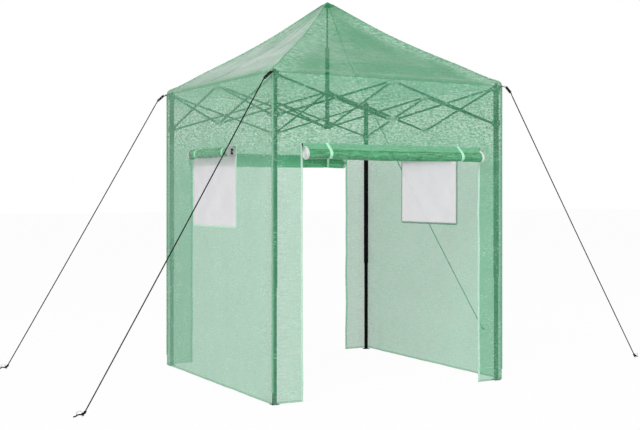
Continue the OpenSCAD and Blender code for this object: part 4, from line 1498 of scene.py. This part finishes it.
# %% Rope lines
def smooth(points, step):
    """A soft line through a few points, with a stop about every step metres."""
    line = []
    spread = [points[0]] + points + [points[-1]]
    for k in range(1, len(spread) - 2):
        a, b, c, d = spread[k - 1:k + 3]
        count = max(2, round((c - b).length / step))
        for i in range(count):
            t = i / count
            line.append(0.5 * (2 * b + (c - a) * t + (2 * a - 5 * b + 4 * c - d) * t ** 2
                               + (3 * b - a - 3 * c + d) * t ** 3))
    return line + [points[-1]]


def strands(radius, lobes=3, sides=12, depth=0.16):
    """The outline of laid rope: a lobe for each strand."""
    turns = [2 * math.pi * i / sides for i in range(sides)]
    reaches = [radius * (1 - depth + depth * math.cos(lobes * t)) for t in turns]
    return [(reach * math.cos(t), reach * math.sin(t)) for reach, t in zip(reaches, turns)]


def facings(path):
    """A steady upward-looking side for each point of a line."""
    made = []
    for k in range(len(path)):
        ahead = (path[min(k + 1, len(path) - 1)] - path[max(k - 1, 0)]).normalized()
        spare = UP if abs(ahead.z) < 0.95 else Vector((0.6, 0.8, 0))
        made.append((spare - ahead * spare.dot(ahead)).normalized())
    return made


def coil(base, ahead, side, other, radius, pitch, turns, stops=14):
    """Turns of rope around a line that leads from base ahead."""
    line = []
    for k in range(turns * stops + 1):
        turn = 2 * math.pi * k / stops
        spin = side * math.cos(turn) + other * math.sin(turn)
        line.append(base + ahead * (pitch * k / stops) + spin * radius)
    return line


ROPE_R, TAIL_R, WIRE_R = 0.0040, 0.0044, 0.0025
TWIST = 2 * math.pi / 0.024
print("a strand turns once in", round(2 * math.pi / TWIST, 3), "m")

# %% [markdown]
# ## Guy ropes and their pegs
#
# Four ropes brace the corners. Each runs from a sewn loop at the eaves, in and out of a moulded
# tightener, to a wire peg, where it is knotted, hitched round the peg, and left with a short tail. A
# taut rope still hangs a few millimetres low in its middle. The places of the pegs, the loops and the
# tighteners are worked out as in the frame's own source.

# %% Where each rope runs
PEG_REACH = {-1: 0.973, 1: 1.376}
PEG_BACK = {-1: 0.233, 1: -0.369}
LOOP_OUT, LOOP_DROP, TIGHTENER, LEAN = 0.024, 0.006, 0.052, 0.45
KNOT_UP, PEG_GAP, PEG_UP, HOOK_R, HOOK_END = 0.020, 0.009, 0.016, 0.016, 0.008


class Corner:
    """The places along one corner's rope, from the end of its eave loop to its peg."""

    def __init__(self, sx, sy):
        peg = Vector((sx * (WALL + PEG_REACH[sx]), sy * (WALL - PEG_BACK[sy]), 0))
        aside = WALL + LOOP_OUT / math.sqrt(2)
        self.knot = peg + UP * KNOT_UP
        self.loop_end = Vector((sx * aside, sy * aside, EAVE - LOOP_DROP))
        self.seam = Vector((sx * (STRAIGHT + 0.0035), sy * (STRAIGHT + 0.0035), EAVE))
        self.run = (self.knot - self.loop_end).normalized()
        self.outward = Vector((self.run.x, self.run.y, 0)).normalized()
        self.across = UP.cross(self.outward)
        self.lean = (self.run + self.outward * LEAN).normalized()
        self.thick = self.lean.cross(UP).normalized()
        self.start = self.loop_end + self.lean * TIGHTENER
        self.hitch = peg + self.outward * PEG_GAP

    def by_peg(self, out, aside, up):
        """A point near the peg."""
        return self.hitch + self.outward * out + self.across * aside + UP * up


rope_corners = [Corner(sx, sy) for sx, sy in CORNERS]
for corner, place in zip(CORNERS, rope_corners):
    print("rope", *corner, "runs", round((place.knot - place.start).length, 3), "m to its knot")

# %% Ropes
WEAVE = [(0.12, -0.0045), (0.30, 0.0), (0.42, 0.0052), (0.55, 0.0), (0.67, -0.0052), (0.80, 0.0),
         (0.93, 0.0040)]
LOOSE_END = [(0.000, 0.000, 0.017), (0.006, 0.010, 0.014), (0.018, 0.012, 0.0150), (0.028, 0.012, 0.0125),
             (0.038, 0.013, 0.0062), (0.048, 0.012, 0.0050)]
ROPE_SAG, ROPE_STEP = 0.005, 0.0026
ropes = Shape()


def guy_rope(place):
    """The taut rope, woven through its tightener."""
    woven_part = [place.loop_end + place.lean * (TIGHTENER * t) + place.thick * off for t, off in WEAVE]
    path = smooth(woven_part + [place.start + place.run * 0.02], 0.003)
    count = round((place.knot - place.start).length / ROPE_STEP)
    for k in range(count + 1):
        spot = place.start.lerp(place.knot, k / count) - UP * (ROPE_SAG * math.sin(math.pi * k / count))
        if (spot - place.start).length > 0.028:
            path.append(spot)
    ropes.sweep(path, facings(path), strands(ROPE_R), TWIST)


def peg_knot(place):
    """Three turns round the rope itself, two round the peg, and the tail."""
    wrap = coil(place.knot - place.run * 0.011, place.run, place.thick, place.run.cross(place.thick),
                0.0048, 0.0052, 3)
    ropes.sweep(wrap, facings(wrap), disc(0.0027, 8))
    laps = coil(place.by_peg(0, 0, 0.008), UP, -place.outward, place.across, 0.0056, 0.0058, 2)
    ropes.sweep(laps, facings(laps), disc(0.0028, 8))
    tail = smooth([place.by_peg(*spot) for spot in LOOSE_END], 0.003)
    ropes.sweep(tail, facings(tail), strands(TAIL_R), TWIST)


for place in rope_corners:
    guy_rope(place)
    peg_knot(place)
piece("guy_rope_strands", ropes, cord, "rope", ["guy_ropes"])
print("ropes:", len(ropes.faces), "faces")

# %% [markdown]
# ## Eave loops
#
# A short black strap is sewn into each corner under the eave. It runs out, folds round the end of the
# tightener, and comes back on itself. Its line is a few given points, the lower half being the upper
# one mirrored, and the tape's outer face has to turn with it round the fold.

# %% Eave loops
LOOP_STITCH, LOOP_THREAD = 0.005, (0.003, 0.002, 0.0009, 0.0005)
FOLD_TOP = [(-0.004, 0.0012), (0.006, 0.0012), (0.014, 0.0014), (0.021, 0.0034), (0.0255, 0.0030)]
FOLD_TIP, FOLD_MIDDLE = (0.0275, 0.0), 0.021
LOOP_HALF, LOOP_THICK = 0.007, 0.0020
loops, loop_thread = Shape(), Shape()


def eave_loop(place):
    """A strap folded round the tightener's end, with both ends sewn into the corner under the eave."""
    out = (place.loop_end - place.seam).normalized()
    flat = UP.cross(out).normalized()
    lift = out.cross(flat)
    fold = FOLD_TOP + [FOLD_TIP] + [(x, -z) for x, z in reversed(FOLD_TOP)]
    path = smooth([place.seam + out * x + lift * z for x, z in fold], 0.0025)
    looks = []
    for spot in path:
        if (spot - place.seam).dot(out) > FOLD_MIDDLE - 0.002:
            away = spot - place.seam - out * FOLD_MIDDLE
            looks.append((away - flat * away.dot(flat)).normalized())
        else:
            looks.append(lift * math.copysign(1, (spot - place.seam).dot(lift)))
    loops.sweep(path, looks, tape(-LOOP_HALF, LOOP_HALF, 0.0, LOOP_THICK))
    for off in (-LOOP_STITCH, LOOP_STITCH):
        row = [place.seam + out * x + flat * off + lift * 0.0034 for x in (0.0, 0.004, 0.008, 0.012)]
        loop_thread.stitches(row, [lift] * len(row), *LOOP_THREAD)


for place in rope_corners:
    eave_loop(place)
piece("eave_loop_straps", loops, dark_strap, "rope", ["eave_loops"])
piece("eave_loop_thread", loop_thread, dark_strap, "rope")
print("loops:", len(loops.faces), "faces")

# %% [markdown]
# ## Pegs
#
# A peg is one thick wire, pushed into the ground and bent over at its top, so that the rope can't slip
# off. Only what stands above the ground is made. A half circle gives the bend, and one sweep the wire.

# %% Pegs
pegs = Shape()


def peg_wire(place):
    """A wire that stands beside the rope and bends over it in a hook."""
    wire = [place.by_peg(0, 0, z) for z in (0.0, 0.005, 0.010, PEG_UP)]
    for k in range(1, 13):
        turn = math.pi * k / 12
        wire.append(place.by_peg(HOOK_R * (1 - math.cos(turn)), 0, PEG_UP + HOOK_R * math.sin(turn)))
    wire += [place.by_peg(2 * HOOK_R, 0, z) for z in (0.012, HOOK_END)]
    pegs.sweep(wire, [place.across] * len(wire), disc(WIRE_R, 12))


for place in rope_corners:
    peg_wire(place)
piece("peg_wires", pegs, zinc, "zinc", ["ground_pegs"])
print("pegs:", len(pegs.faces), "faces")

# %% Print the size
low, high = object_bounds()
print("size:", [round(b - a, 3) for a, b in zip(low, high)])
